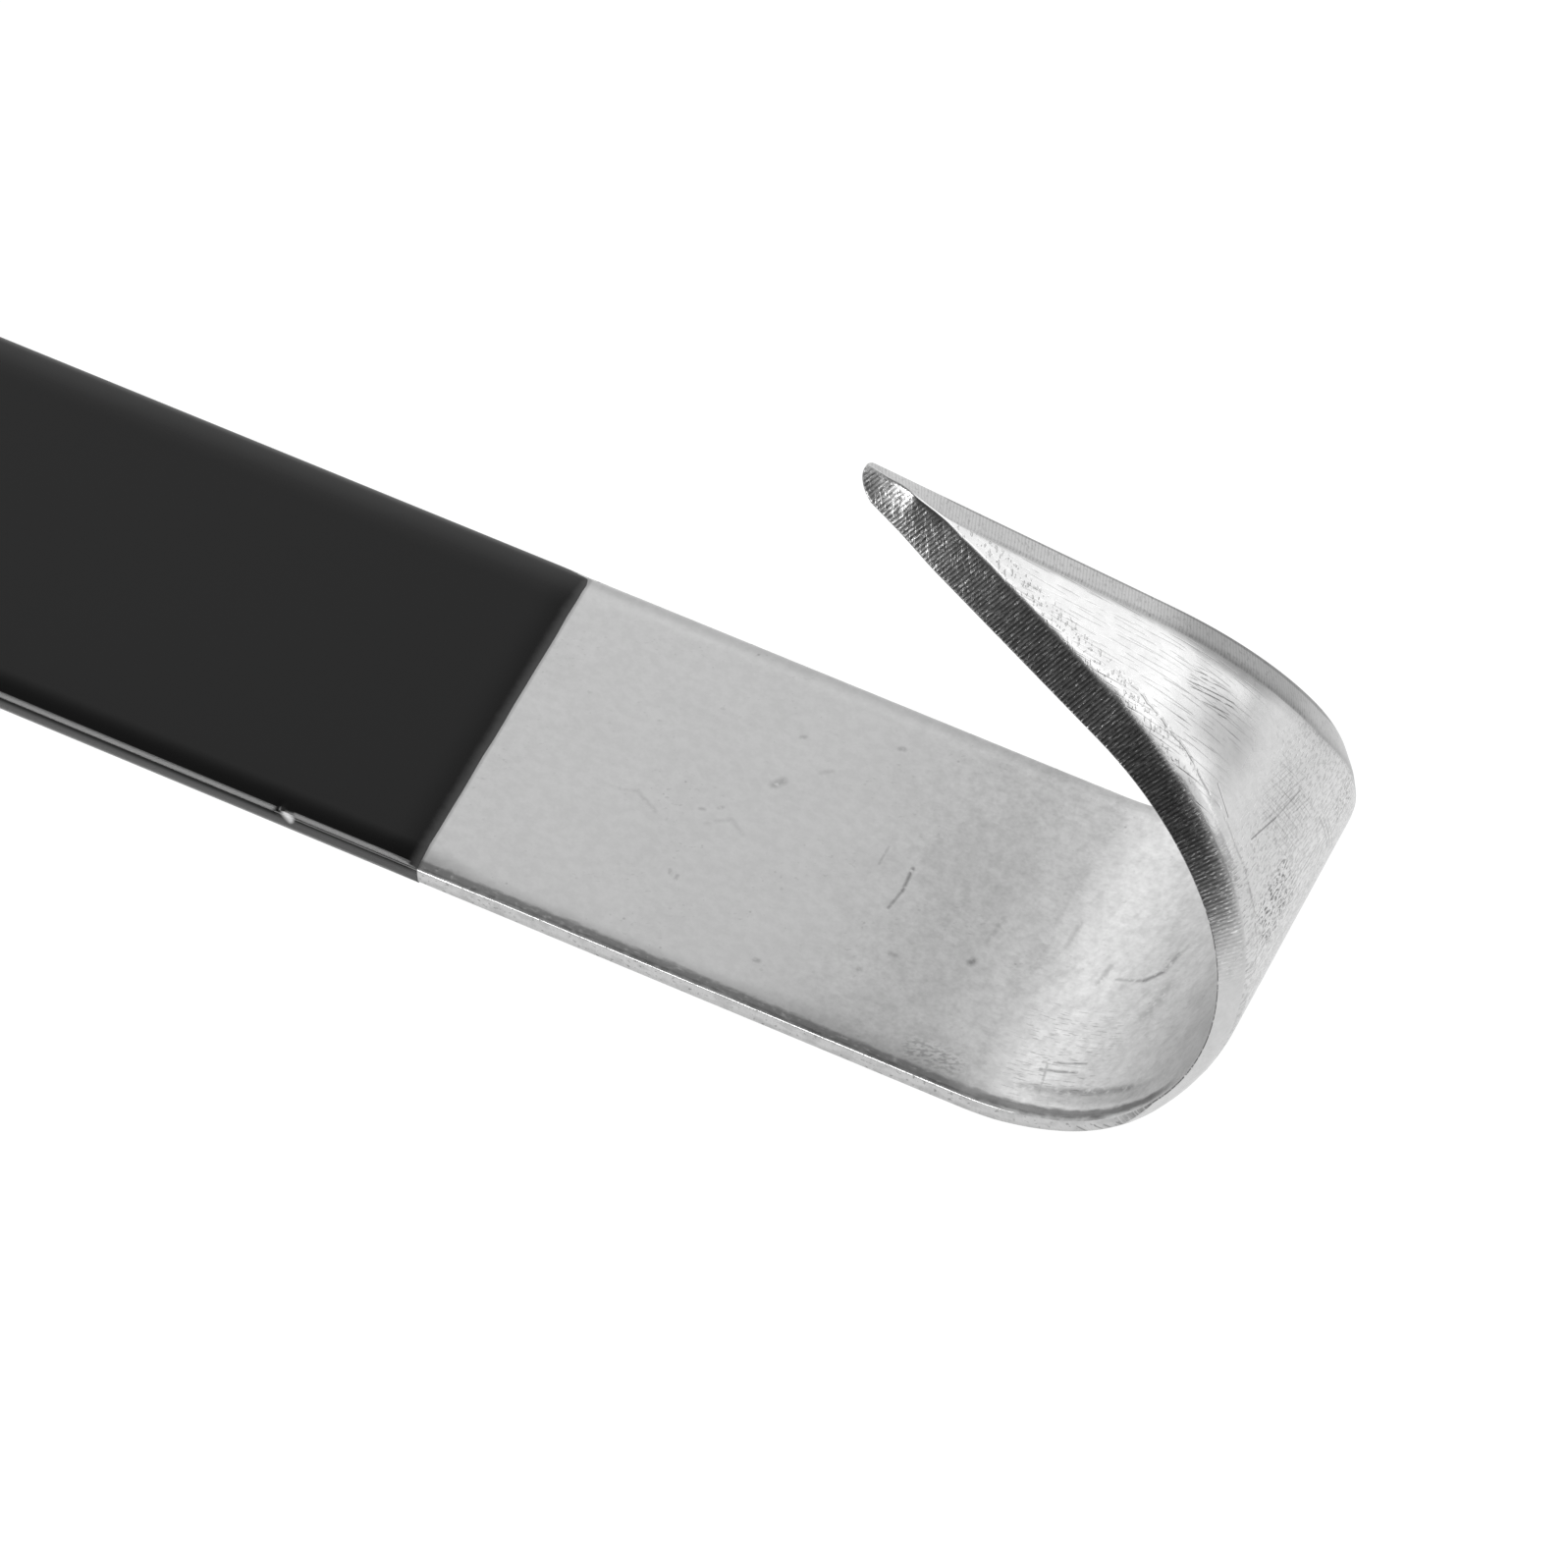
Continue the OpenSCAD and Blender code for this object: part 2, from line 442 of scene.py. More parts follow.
        columns = np.append(np.arange(0, self.window + 1.0), [10.2, 12.4])
        columns = np.append(columns / (self.bar_w / 2 - self.coat_roll_w), 1.0)
        start = reach - side * roll_w
        points: list[np.ndarray] = []
        for f in columns:
            points.append(np.stack([mid + (start - mid) * f, grind], 1))
        for t in np.linspace(0, 1, 10)[1:-1]:
            groove = crease * np.exp(-(((t - 0.3) / 0.16) ** 2))
            points.append(np.stack([start + side * roll_w * t * 0.985, grind + drop * t**2.2 + groove], 1))
        before = points[-1]
        zones = {"corner": len(points)}
        points += fillet(before, inner, low, rounding, rounding, 4)
        first, last = points[-1], low + (inner - low) * np.minimum(
            0.45, self.edge_round / np.maximum(side_depth - grind - drop, 1e-6)
        )[:, None]
        for t in (0.2, 0.4, 0.6, 0.8):
            points.append(first + (last - first) * t)
        zones["foot"] = len(points)
        points += fillet(inner, low, ridge, np.full(n, self.edge_round), np.full(n, self.edge_round), 3)
        b0 = points[-1]
        arc = fillet(low, ridge, centre_out, soft, soft, 8)
        for t in np.linspace(0, 1, 8)[1:-1]:
            points.append(b0 + (arc[0] - b0) * t)
        points += arc
        wide = self.bar_w / 2 - self.arris - 0.45 * self.arris
        rows = np.concatenate([[12.8, 10.2], np.arange(self.window, -1, -1.0)]) / wide
        for f in rows:
            points.append(centre_out + (arc[-1] - centre_out) * f)
        return np.stack(points, 1), zones

    def blank(self) -> tuple[np.ndarray, np.ndarray, dict]:
        """All sections of the flat blank.

        Returns:
            Points (station, point round the section, (s, y, depth)), each point's distances from the
            two ridges and from the near edge, and where one half's corner and foot begin.
        """
        s = self.stations()
        grind = (self.steel_t - self.chisel_land) * np.clip(1 - (s - self.scraper_s) / self.chisel_l, 0, 1)
        near, far = -self.outline(s, Edge.NEAR), self.outline(s, Edge.FAR)
        widths = {edge: self.bevel(s, edge)[0] for edge in Edge}
        wide = far - near
        closing = np.clip((s - self.ridge_end) / (self.claw_len - self.ridge_end), 0, 1)
        total = widths[Edge.NEAR] + widths[Edge.FAR] + self.ridge_w
        fit = np.minimum(1, wide / total)
        far_w = widths[Edge.FAR] * fit * (1 - 0.45 * closing)
        near_w = np.where(closing > 0, wide - far_w - self.ridge_w * fit, widths[Edge.NEAR] * fit)
        thin = {Edge.NEAR: self.bend_thinning * np.exp(-(((s - 21) / 13) ** 2)), Edge.FAR: 0}
        depth = {
            edge: self.steel_t - thin[edge] - (self.steel_t - thin[edge] - self.tip_t) * closing**1.5
            for edge in Edge
        }
        ridges = {"depth": depth, Edge.NEAR: near + near_w, Edge.FAR: far - far_w}
        mid = np.where(s > 0, (ridges[Edge.NEAR] + ridges[Edge.FAR]) / 2, 0) * smooth(s, 10, 30)
        halves = {edge: self.half_section(s, edge, ridges, mid, grind) for edge in Edge}
        far_half, zones = halves[Edge.FAR]
        near_half = halves[Edge.NEAR][0]
        ring = np.concatenate([far_half, near_half[:, -2:0:-1]], 1)
        along = np.broadcast_to(s[:, None, None], ring.shape[:2] + (1,))
        y = ring[..., 0]
        gaps = np.stack([y - ridges[Edge.NEAR][:, None], ridges[Edge.FAR][:, None] - y, y - near[:, None]], 2)
        return np.concatenate([along, ring], 2), gaps, zones

    def cover(self, grid: np.ndarray, zones: dict[str, int]) -> tuple[list, list, list]:
        """Covers the grid of points with faces, with the hole punched through.

        Args:
            grid: Points (station, point round the section, (s, y, depth)).
            zones: Where one half's top corner and foot begin.

        Returns:
            All points (s, y, depth), the faces and the finish of each face.
        """
        rows, count = grid.shape[:2]
        half = count // 2
        verts = grid.reshape(-1, 3).tolist()
        back_of = {k: (k if k <= half else count - k) for k in range(count)}

        def vertex(row: int, k: int) -> int:
            """Index of a grid point."""
            return row * count + k % count

        def finish_of(k: int) -> int:
            """Finish of the strip of faces between point k and the next."""
            place = min(back_of[k % count], back_of[(k + 1) % count])
            if place < zones["corner"]:
                return int(Finish.TUMBLED)
            return int(Finish.SHEARED) if place < zones["foot"] + 1 else int(Finish.GROUND)

        s = grid[:, 0, 0]
        first = int(np.argmin(np.abs(s - (self.hole_s - self.window))))
        last = int(np.argmin(np.abs(s - (self.hole_s + self.window))))
        faces: list[list[int]] = []
        finish: list[int] = []
        for row in range(rows - 1):
            for k in range(count):
                in_top = k < self.window or k >= count - self.window
                in_back = half - self.window <= k < half + self.window
                if first <= row < last and (in_top or in_back):
                    continue
                faces.append([vertex(row, k), vertex(row + 1, k), vertex(row + 1, k + 1), vertex(row, k + 1)])
                tapered = s[row + 1] < self.scraper_s + self.chisel_l + 0.01
                ground = tapered and finish_of(k) == Finish.TUMBLED
                finish.append(int(Finish.GROUND) if ground else finish_of(k))
        faces.append([vertex(0, k) for k in range(count)])
        finish.append(int(Finish.GROUND))
        faces.append([vertex(rows - 1, k) for k in reversed(range(count))])
        finish.append(int(Finish.GROUND))
        self.punch(verts, faces, finish, first, last, count, half)
        return verts, faces, finish

    def mesh(self) -> bpy.types.Object:
        """Builds the flat blank as one closed mesh with its hole and its masks.

        Returns:
            The blank's object, still flat, in metres.
        """
        grid, gaps, zones = self.blank()
        verts, faces, finish = self.cover(grid, zones)
        data = bpy.data.meshes.new("blade")
        flat = np.array(verts)
        places = np.stack([(flat[:, 0] + self.bend_x), flat[:, 1], self.face_z - flat[:, 2]], 1) * MM
        data.from_pydata(places.tolist(), [], faces)
        self.pin(data, flat, finish, gaps)
        face_outward(data)
        return put("blade", data)

    def punch(
        self, verts: list, faces: list, finish: list, first: int, last: int, count: int, half: int
    ) -> None:
        """Joins the two square windows of the grid with the wall of the round hole.

        Args:
            verts: Points (s, y, depth), which grow.
            faces: Faces, which grow.
            finish: Finish of each face, which grows.
            first: Row at which the windows begin.
            last: Row at which they end.
            count: Points round a section.
            half: Index of the outside face's middle.
        """
        w = self.window
        square = (
            [(first, j) for j in range(-w, w)]
            + [(row, w) for row in range(first, last)]
            + [(last, j) for j in range(w, -w, -1)]
            + [(row, -w) for row in range(last, first, -1)]
        )
        top = [row * count + j % count for row, j in square]
        under = [row * count + (half - j) for row, j in square]
        radius = self.hole_d / 2
        rings = [
            (radius + 2.2, 0.0),
            (radius + self.hole_rim, 0.0),
            (radius + self.hole_rim * 0.3, self.hole_rim * 0.3),
            (radius, self.hole_rim),
        ]
        rings += [(r, self.steel_t - d) for r, d in reversed(rings)]
        loops = [top]
        for r, d in rings:
            loop = []
            for row_index in top:
                ds, dy = verts[row_index][0] - self.hole_s, verts[row_index][1]
                length = math.hypot(ds, dy)
                loop.append(len(verts))
                verts.append([self.hole_s + ds / length * r, dy / length * r, d])
            loops.append(loop)
        loops.append(under)
        for ring, (one, two) in enumerate(zip(loops, loops[1:])):
            for i in range(len(one)):
                j = (i + 1) % len(one)
                faces.append([one[i], two[i], two[j], one[j]])
                finish.append(int(Finish.SHEARED if 2 <= ring <= 6 else Finish.TUMBLED))

    def pin(self, data: bpy.types.Mesh, flat: np.ndarray, finish: list[int], gaps: np.ndarray) -> None:
        """Writes the blank's coordinates, the distances from the ridges and the finishes.

        Args:
            data: The mesh.
            flat: Every vertex as (s, y, depth).
            finish: The finish of each face.
            gaps: Distances of each grid point from the near and the far ridge, positive between them,
                and from the near edge.
        """
        ridges = np.full((len(flat), 3), 9.0, np.float32)
        ridges[: gaps.shape[0] * gaps.shape[1]] = gaps.reshape(-1, 3)
        for pin, value in ((BladePin.BLANK, flat), (BladePin.RIDGES, ridges)):
            made = data.attributes.new(pin.value, "FLOAT_VECTOR", "POINT")
            made.data.foreach_set("vector", value.astype(np.float32).ravel())
        kinds = data.attributes.new(BladePin.FINISH.value, "INT", "FACE")
        kinds.data.foreach_set("value", np.array(finish, np.int32))

    def tree_sizes(self) -> dict[str, float]:
        """Named sizes of the bend tree, in metres and radians."""
        return {
            "Bend start": self.bend_x * MM,
            "Face height": self.face_z * MM,
            "Bend radius": self.bend_r * MM,
            "Bend angle": math.radians(self.bend_angle),
            "Ease radius": self.ease_r * MM,
            "Ease angle": math.radians(self.ease_angle),
            "Ripple": self.ripple * MM,
        }

    def ripple_shoulder(
        self, tree: bpy.types.NodeTree, rolled: bpy.types.Node, size: bpy.types.NodeSocket
    ) -> bpy.types.Node:
        """Makes the hand-ground shoulder waver a little along the claw.

        Args:
            tree: The bend tree.
            rolled: The node that gives the bent blade.
            size: How far the shoulder wavers, in metres.

        Returns:
            The node that gives the blade with its ripple.
        """
        blank, ridges = (
            add(tree, "GeometryNodeInputNamedAttribute", {"Name": pin.value}, data_type="FLOAT_VECTOR")
            for pin in (BladePin.BLANK, BladePin.RIDGES)
        )
        parts = add(tree, "ShaderNodeSeparateXYZ", {0: blank}).outputs
        gap = add(tree, "ShaderNodeSeparateXYZ", {0: ridges}).outputs[0]
        reach = add(tree, "ShaderNodeMath", {0: gap, 1: 0.6}, operation="SUBTRACT")
        off = add(tree, "ShaderNodeMath", {0: reach}, operation="ABSOLUTE")
        noise = {"Vector": blank, "Scale": 0.7, "Detail": 2.0, "Roughness": 0.6}
        waver = add(tree, "ShaderNodeTexNoise", noise).outputs[0]
        swing = add(tree, "ShaderNodeMath", {0: waver, 1: 0.5}, operation="SUBTRACT")
        sized = add(tree, "ShaderNodeMath", {0: swing, 1: size}, operation="MULTIPLY")
        # It does so only beside the near ridge, past the start of the claw and on the outside face.
        for value, start, end, low, high in (
            (off, 0.4, 1.5, 1.0, 0.0),
            (parts[0], 15.0, 24.0, 0.0, 1.0),
            (parts[2], 0.9, 1.3, 0.0, 1.0),
        ):
            limits = {"Value": value, "From Min": start, "From Max": end, "To Min": low, "To Max": high}
            part = add(tree, "ShaderNodeMapRange", limits, interpolation_type="SMOOTHSTEP")
            sized = add(tree, "ShaderNodeMath", {0: sized, 1: part}, operation="MULTIPLY")
        normal = add(tree, "GeometryNodeInputNormal")
        shift = add(tree, "ShaderNodeVectorMath", {0: normal, "Scale": sized}, operation="SCALE")
        return add(tree, "GeometryNodeSetPosition", {"Geometry": rolled, "Offset": shift})

    def bend_tree(self, finishes: dict[Finish, bpy.types.Material]) -> bpy.types.GeometryNodeTree:
        """Builds the tree that rolls the blank round the two bends.

        Args:
            finishes: The material of each finish.

        Returns:
            The node tree, with named inputs for its sizes.
        """
        tree = bpy.data.node_groups.new("claw_bend", "GeometryNodeTree")
        face = tree.interface
        face.new_socket("Geometry", in_out="INPUT", socket_type="NodeSocketGeometry")
        for name in self.tree_sizes():
            face.new_socket(name, in_out="INPUT", socket_type="NodeSocketFloat")
        face.new_socket("Geometry", in_out="OUTPUT", socket_type="NodeSocketGeometry")
        pins = add(tree, "NodeGroupInput").outputs
        place = add(tree, "ShaderNodeSeparateXYZ", {0: add(tree, "GeometryNodeInputPosition")}).outputs
        known = {pin.name: pin for pin in pins} | {"flat x": place[0], "flat z": place[2]}
        for name, operation, *terms in BEND_SUMS:
            values = {i: known.get(term, term) for i, term in enumerate(terms)}
            known[name] = add(tree, "ShaderNodeMath", values, operation=operation)
        bent = add(tree, "ShaderNodeCombineXYZ", {0: known["x"], 1: place[1], 2: known["z"]})
        rolled = add(tree, "GeometryNodeSetPosition", {"Geometry": pins["Geometry"], "Position": bent})
        rippled = self.ripple_shoulder(tree, rolled, pins["Ripple"])
        geometry = add(tree, "GeometryNodeRealizeInstances", {"Geometry": rippled})
        named = {"Name": BladePin.FINISH.value}
        kind = add(tree, "GeometryNodeInputNamedAttribute", named, data_type="INT")
        for finish, material in finishes.items():
            same = {2: kind, 3: int(finish)}
            chosen = add(tree, "FunctionNodeCompare", same, data_type="INT", operation="EQUAL")
            coated = {"Geometry": geometry, "Selection": chosen, "Material": material}
            geometry = add(tree, "GeometryNodeSetMaterial", coated)
        add(tree, "NodeGroupOutput", {"Geometry": geometry})
        return tree

    def build(self, finishes: dict[Finish, bpy.types.Material]) -> bpy.types.Object:
        """Makes the finished blade: draws the blank, bends it and turns it into a plain mesh.

        Args:
            finishes: The material of each finish.

        Returns:
            The blade, at the origin, with no modifier.
        """
        shape = self.mesh()
        tree = self.bend_tree(finishes)
        bend = shape.modifiers.new("claw_bend", "NODES")
        bend.node_group = tree
        sizes = self.tree_sizes()
        for item in tree.interface.items_tree:
            if item.in_out == "INPUT" and item.name in sizes:
                bend[item.identifier] = sizes[item.name]
        baked = bpy.data.meshes.new_from_object(shape.evaluated_get(bpy.context.evaluated_depsgraph_get()))
        shape.modifiers.clear()
        shape.data = baked
        baked.name = "blade"
        baked.shade_smooth()
        baked.set_sharp_from_angle(angle=math.radians(self.sharp_above))
        return shape


@dataclass
class GripCoat:
    """The thin black coat round the middle of the bar, feathered out at its two ends."""

    bar_w: float = 35.0
    steel_t: float = 2.0
    coat_box: float = 0.2
    skin: float = 0.19
    film: float = 0.01
    end_skin: float = 0.02
    roll_w: float = 2.8
    near_drop: float = 0.5
    far_drop: float = 0.2
    corner_y: float = 1.2
    corner_z: float = 0.9
    far_share: float = 0.65
    tight_share: float = 1.4
    foot_r: float = 1.0
    end_x: float = 59.0
    length: float = 118.0
    feather_l: float = 3.4
    slant: float = 0.35
    wobble: float = 0.04
    dent_x: float = 46.1
    dent_depth: float = 0.07
    dent_size: tuple[float, float, float] = (0.45, 0.7, 0.7)
    step: float = 0.6
    fine_step: float = 0.15
    sharp_above: float = 50.0

    def half(self, skin: float, drop: float, share: float) -> np.ndarray:
        """Outline of one half of the outside, from beside the top's middle round to the bottom's.

        Args:
            skin: Thickness of the coat there.
            drop: How far the steel's own edge is rolled down on that side.
            share: Share of the top corner's full height.

        Returns:
            Points (distance from the side, z).
        """
        fade = min(1.0, skin / self.skin)
        wide = self.bar_w / 2 + skin
        high, low = self.coat_box + self.steel_t + skin, self.coat_box - skin
        ry, rz, rf = (r * (0.25 + 0.75 * fade) for r in (self.corner_y, self.corner_z * share, self.foot_r))

        def top(gap: np.ndarray) -> np.ndarray:
            """Height of the top at a distance from the side."""
            return high - drop * (0.75 + 0.25 * fade) * np.clip(1 - gap / self.roll_w, 0, 1) ** 2

        slope = float(top(np.array(ry)) - top(np.array(ry - 0.02))) / 0.02
        lean = math.atan2(rz, ry * max(slope, 1e-3))
        start = ry - ry * math.cos(lean)
        gaps = np.concatenate([np.linspace(wide, self.roll_w, 8)[1:], np.linspace(self.roll_w, ry, 15)[1:-1]])
        turn = np.linspace(lean, 0, 12)
        centre_z = float(top(np.array(start))) - rz * math.sin(lean)
        foot = np.linspace(0, math.pi / 2, 7)
        under = np.linspace(rf, wide, 8)[1:-1]
        y = np.concatenate([gaps, ry - ry * np.cos(turn), rf * (1 - np.cos(foot)), under])
        z = np.concatenate(
            [top(gaps), centre_z + rz * np.sin(turn), low + rf * (1 - np.sin(foot)), np.full(len(under), low)]
        )
        return np.stack([y, z], 1)

    def section(self, skin: float, share: float = 1.0) -> np.ndarray:
        """Outline of the coat's outside at one skin thickness.

        Args:
            skin: Thickness of the coat there.
            share: Share of the near top corner's full rounding.

        Returns:
            Points (y, z), from the middle of the top over the near side and back over the far one.
        """
        wide = self.bar_w / 2 + skin
        near, far = self.half(skin, self.near_drop, share), self.half(skin, self.far_drop, self.far_share)
        top = np.array([[0, self.coat_box + self.steel_t + skin]])
        bottom = np.array([[0, self.coat_box - skin]])
        near_side = np.stack([near[:, 0] - wide, near[:, 1]], 1)
        far_side = np.stack([wide - far[:, 0], far[:, 1]], 1)
        return np.concatenate([top, near_side, bottom, far_side[::-1]])

    def runs(self) -> np.ndarray:
        """Distances from the claw's end of the coat at which it has a section, close set at the dent."""
        ends = self.feather_l * np.linspace(0, 1, 11) ** 1.3
        dent = self.end_x - self.dent_x
        fine = np.arange(dent - 1.8, dent + 1.8, self.fine_step)
        middle = np.arange(self.feather_l + 0.6, self.length - self.feather_l - 0.3, self.step)
        middle = np.round(middle[np.abs(middle - self.end_x + self.dent_x) > 2.0], 3)
        middle = np.union1d(middle, np.round(fine, 3))
        return np.concatenate([ends, middle, self.length - ends[::-1]])

    def build(self, material: bpy.types.Material) -> bpy.types.Object:
        """Makes the coat as one closed sleeve with a small dent in its near top edge.

        Args:
            material: The coat's finish.

        Returns:
            The coat's object.
        """
        run = self.runs()
        x = self.end_x - run
        grown = np.clip(np.minimum(run, self.length - run) / self.feather_l, 0, 1)
        skins = self.end_skin + (self.skin - self.end_skin) * (1 - (1 - grown) ** 2)
        shares = 1 - (1 - self.tight_share) * smooth(x, self.dent_x, self.dent_x + 1.5)
        rings = np.stack([self.section(k, share) for k, share in zip(skins, shares)])
        count = rings.shape[1]
        at_end = smooth(x, self.end_x - 3, self.end_x)[:, None]
        down = np.clip((self.coat_box + self.steel_t - rings[..., 1]) / self.steel_t, 0, 1)
        waver = self.wobble * (np.sin(rings[..., 0] * 1.9) + np.sin(rings[..., 0] * 0.7 + 2)) / 2
        along = np.repeat(x[:, None], count, 1) + (self.slant * down - self.wobble + waver) * at_end
        outer = np.stack([along, rings[..., 0], rings[..., 1]], 2)
        self.dent(outer)
        lining = self.section(self.film)
        lining_y, lining_z = (np.broadcast_to(lining[:, i], along.shape) for i in (0, 1))
        inner = np.stack([along, lining_y, lining_z], 2)
        verts = np.concatenate([outer.reshape(-1, 3), inner.reshape(-1, 3)])
        faces = self.cover(len(x), count)
        data = bpy.data.meshes.new("grip")
        data.from_pydata((verts * MM).tolist(), [], faces)
        face_outward(data)
        data.materials.append(material)
        data.shade_smooth()
        data.set_sharp_from_angle(angle=math.radians(self.sharp_above))
        return put("grip", data)

    def cover(self, rows: int, count: int) -> list[list[int]]:
        """Faces of the outside, the lining and the two end rims.

        Args:
            rows: How many sections the coat has.
            count: How many points one section has.

        Returns:
            The faces, where the lining's points follow the outside's.
        """
        faces, half = [], rows * count
        for row in range(rows - 1):
            for k in range(count):
                a, b = row * count + k, row * count + (k + 1) % count
                faces.append([a, b, b + count, a + count])
                faces.append([half + a, half + a + count, half + b + count, half + b])
        for k in range(count):
            a, b = k, (k + 1) % count
            faces.append([a, half + a, half + b, b])
            a, b = a + (rows - 1) * count, b + (rows - 1) * count
            faces.append([a, b, half + b, half + a])
        return faces

    def dent(self, outer: np.ndarray) -> None:
        """Sinks a small dent into the coat's near top edge, by moving points (row, point, (x, y, z))."""
        corner = np.array([self.dent_x, -self.bar_w / 2 + 0.2, self.coat_box + self.steel_t - 0.2])
        gap = np.linalg.norm((outer - corner) / np.array(self.dent_size), axis=2)
        push = self.dent_depth * np.exp(-(gap**2) * 2)
        outer[..., 1] += push
        outer[..., 2] -= push


# A smooth step stays between its two ends by itself; a clamp would cost the shader another node.
SMOOTH = {"interpolation_type": "SMOOTHSTEP", "clamp": False}
# Limits in mm that lie past everything a mask can reach, for a mask with no end on that side.
NO_START = -99.0
NO_END = 99.0
BEFORE_SCRAPER = -300.0


class Marks:
    """Marks on a surface, drawn in millimetres and laid one over another.

    Each mark is a mask from 0 to 1 that changes the tone, the roughness and the height. The height
    is in millimetres.
    """

    def __init__(self, name: str, place: tuple[str, str], scale: float, roughness: float) -> None:
        """Starts a material with no marks.

        Args:
            name: The material's name.
            place: Node type and output of the coordinates, such as an attribute's vector.
            scale: Millimetres in one unit of the coordinates.
            roughness: Roughness of the bare surface.
        """
        self.made = bpy.data.materials.new(name)
        self.made.use_nodes = True
        self.tree = self.made.node_tree
        self.tree.nodes.clear()
        kind, output = place
        node = add(self.tree, kind)
        if kind == "ShaderNodeAttribute":
            node.attribute_name = BladePin.BLANK.value
        sized = {0: node.outputs[output], "Scale": scale}
        self.place = add(self.tree, "ShaderNodeVectorMath", sized, operation="SCALE").outputs[0]
        self.parts = add(self.tree, "ShaderNodeSeparateXYZ", {0: self.place}).outputs
        self.tone: bpy.types.Node | float = 1.0
        self.rough: bpy.types.Node | float = roughness
        self.height: bpy.types.Node | float = 0.0

    def lay(self, *masks: bpy.types.Node, tone: float = 1.0, rough: float = 0.0, height: float = 0.0) -> None:
        """Lays one mark over those before it.

        Args:
            *masks: Where the mark is, from 0 to 1; several are multiplied.
            tone: What the mark multiplies the colour by.
            rough: What it adds to the roughness.
            height: What it adds to the height, in millimetres.
        """
        mask = self.where(*masks)
        tree = self.tree
        if tone != 1:
            factor = add(tree, "ShaderNodeMath", {0: mask, 1: tone - 1, 2: 1.0}, operation="MULTIPLY_ADD")
            self.tone = add(tree, "ShaderNodeMath", {0: factor, 1: self.tone}, operation="MULTIPLY")
        for name, amount in (("rough", rough), ("height", height)):
            if amount:
                terms = {0: mask, 1: amount, 2: getattr(self, name)}
                setattr(self, name, add(tree, "ShaderNodeMath", terms, operation="MULTIPLY_ADD"))

    def where(self, *masks: bpy.types.Node) -> bpy.types.Node:
        """Product of masks."""
        whole = masks[0]
        for mask in masks[1:]:
            whole = add(self.tree, "ShaderNodeMath", {0: whole, 1: mask}, operation="MULTIPLY")
        return whole

    def most(self, *masks: bpy.types.Node) -> bpy.types.Node:
        """Greatest of several masks."""
        whole = masks[0]
        for mask in masks[1:]:
            whole = add(self.tree, "ShaderNodeMath", {0: whole, 1: mask}, operation="MAXIMUM")
        return whole

    def between(self, value: bpy.types.NodeSocket, start: float, end: float, soft: float) -> bpy.types.Node:
        """Mask that is 1 where a value lies between start and end, and fades outside over soft."""
        sides = []
        for low, high in ((start - soft, start), (end + soft, end)):
            limits = {"Value": value, "From Min": low, "From Max": high}
            sides.append(add(self.tree, "ShaderNodeMapRange", limits, **SMOOTH))
        return self.where(*sides)

    def grain(
        self, size: tuple[float, float, float], turn: float = 0.0, detail: float = 2.0
    ) -> bpy.types.Node:
        """Noise from 0 to 1.

        Args:
            size: Size of its features in mm along s, y and depth, before the turn.
            turn: Degrees from s towards y.
            detail: How many finer layers it has.

        Returns:
            The noise node.
        """
        turned = {"Vector": self.place, "Rotation": (0, 0, math.radians(turn)), "Scale": size}
        laid = add(self.tree, "ShaderNodeMapping", turned, vector_type="TEXTURE")
        noise = {"Vector": laid, "Scale": 1.0, "Detail": detail, "Roughness": 0.55}
        return add(self.tree, "ShaderNodeTexNoise", noise)

    def streaks(
        self, size: tuple[float, float, float], turn: float, keep: tuple[float, float]
    ) -> bpy.types.Node:
        """Mask of separate flecks or strokes: the part of a noise above a level.

        Args:
            size: Size of the strokes in mm, before the turn.
            turn: Degrees from s towards y.
            keep: Noise levels at which the mask is 0 and 1.

        Returns:
            The mask.
        """
        limits = {"Value": self.grain(size, turn, 1.5), "From Min": keep[0], "From Max": keep[1]}
        return add(self.tree, "ShaderNodeMapRange", limits, **SMOOTH)

    def lines(self, size: tuple[float, float], turn: float, share: float, waver: float) -> bpy.types.Node:
        """Mask of long thin lines side by side, a little wavy.

        Args:
            size: Spacing of the lines and length of their waves, in mm.
            turn: Degrees from y towards -s.
            share: Share of the spacing that a line takes up; 1 gives an even wave.
            waver: How far the waves push a line, in radians of its spacing.

        Returns:
            The mask.
        """
        turned = {"Vector": self.place, "Rotation": (0, 0, math.radians(turn)), "Scale": (*size, size[1])}
        laid = add(self.tree, "ShaderNodeMapping", turned, vector_type="TEXTURE")
        # The node's own bands are 2 pi / 20 units apart.
        bands = {"Vector": laid, "Scale": math.tau / 20, "Distortion": waver, "Detail": 2.0}
        kind = {"wave_type": "BANDS", "bands_direction": "X", "wave_profile": "SIN"}
        wave = add(self.tree, "ShaderNodeTexWave", bands, **kind).outputs["Fac"]
        limits = {"Value": wave, "From Min": 1 - share, "From Max": 1.0}
        return add(self.tree, "ShaderNodeMapRange", limits, **SMOOTH)

    def flecks(self, cell: float, radius: float, share: float) -> bpy.types.Node:
        """Mask of small round flecks scattered at random.

        Args:
            cell: Mean distance between places that may have one, in mm.
            radius: Radius of a fleck in mm.
            share: Share of the places that have one.

        Returns:
            The mask.
        """
        dots = add(self.tree, "ShaderNodeTexVoronoi", {"Vector": self.place, "Scale": 1 / cell}).outputs
        limits = {"Value": dots["Distance"], "From Min": radius / cell, "From Max": 0.3 * radius / cell}
        disc = add(self.tree, "ShaderNodeMapRange", limits, **SMOOTH)
        luck = add(self.tree, "ShaderNodeSeparateColor", {0: dots["Color"]})
        chosen = add(self.tree, "ShaderNodeMath", {0: luck, 1: share}, operation="LESS_THAN")
        return self.where(disc, chosen)

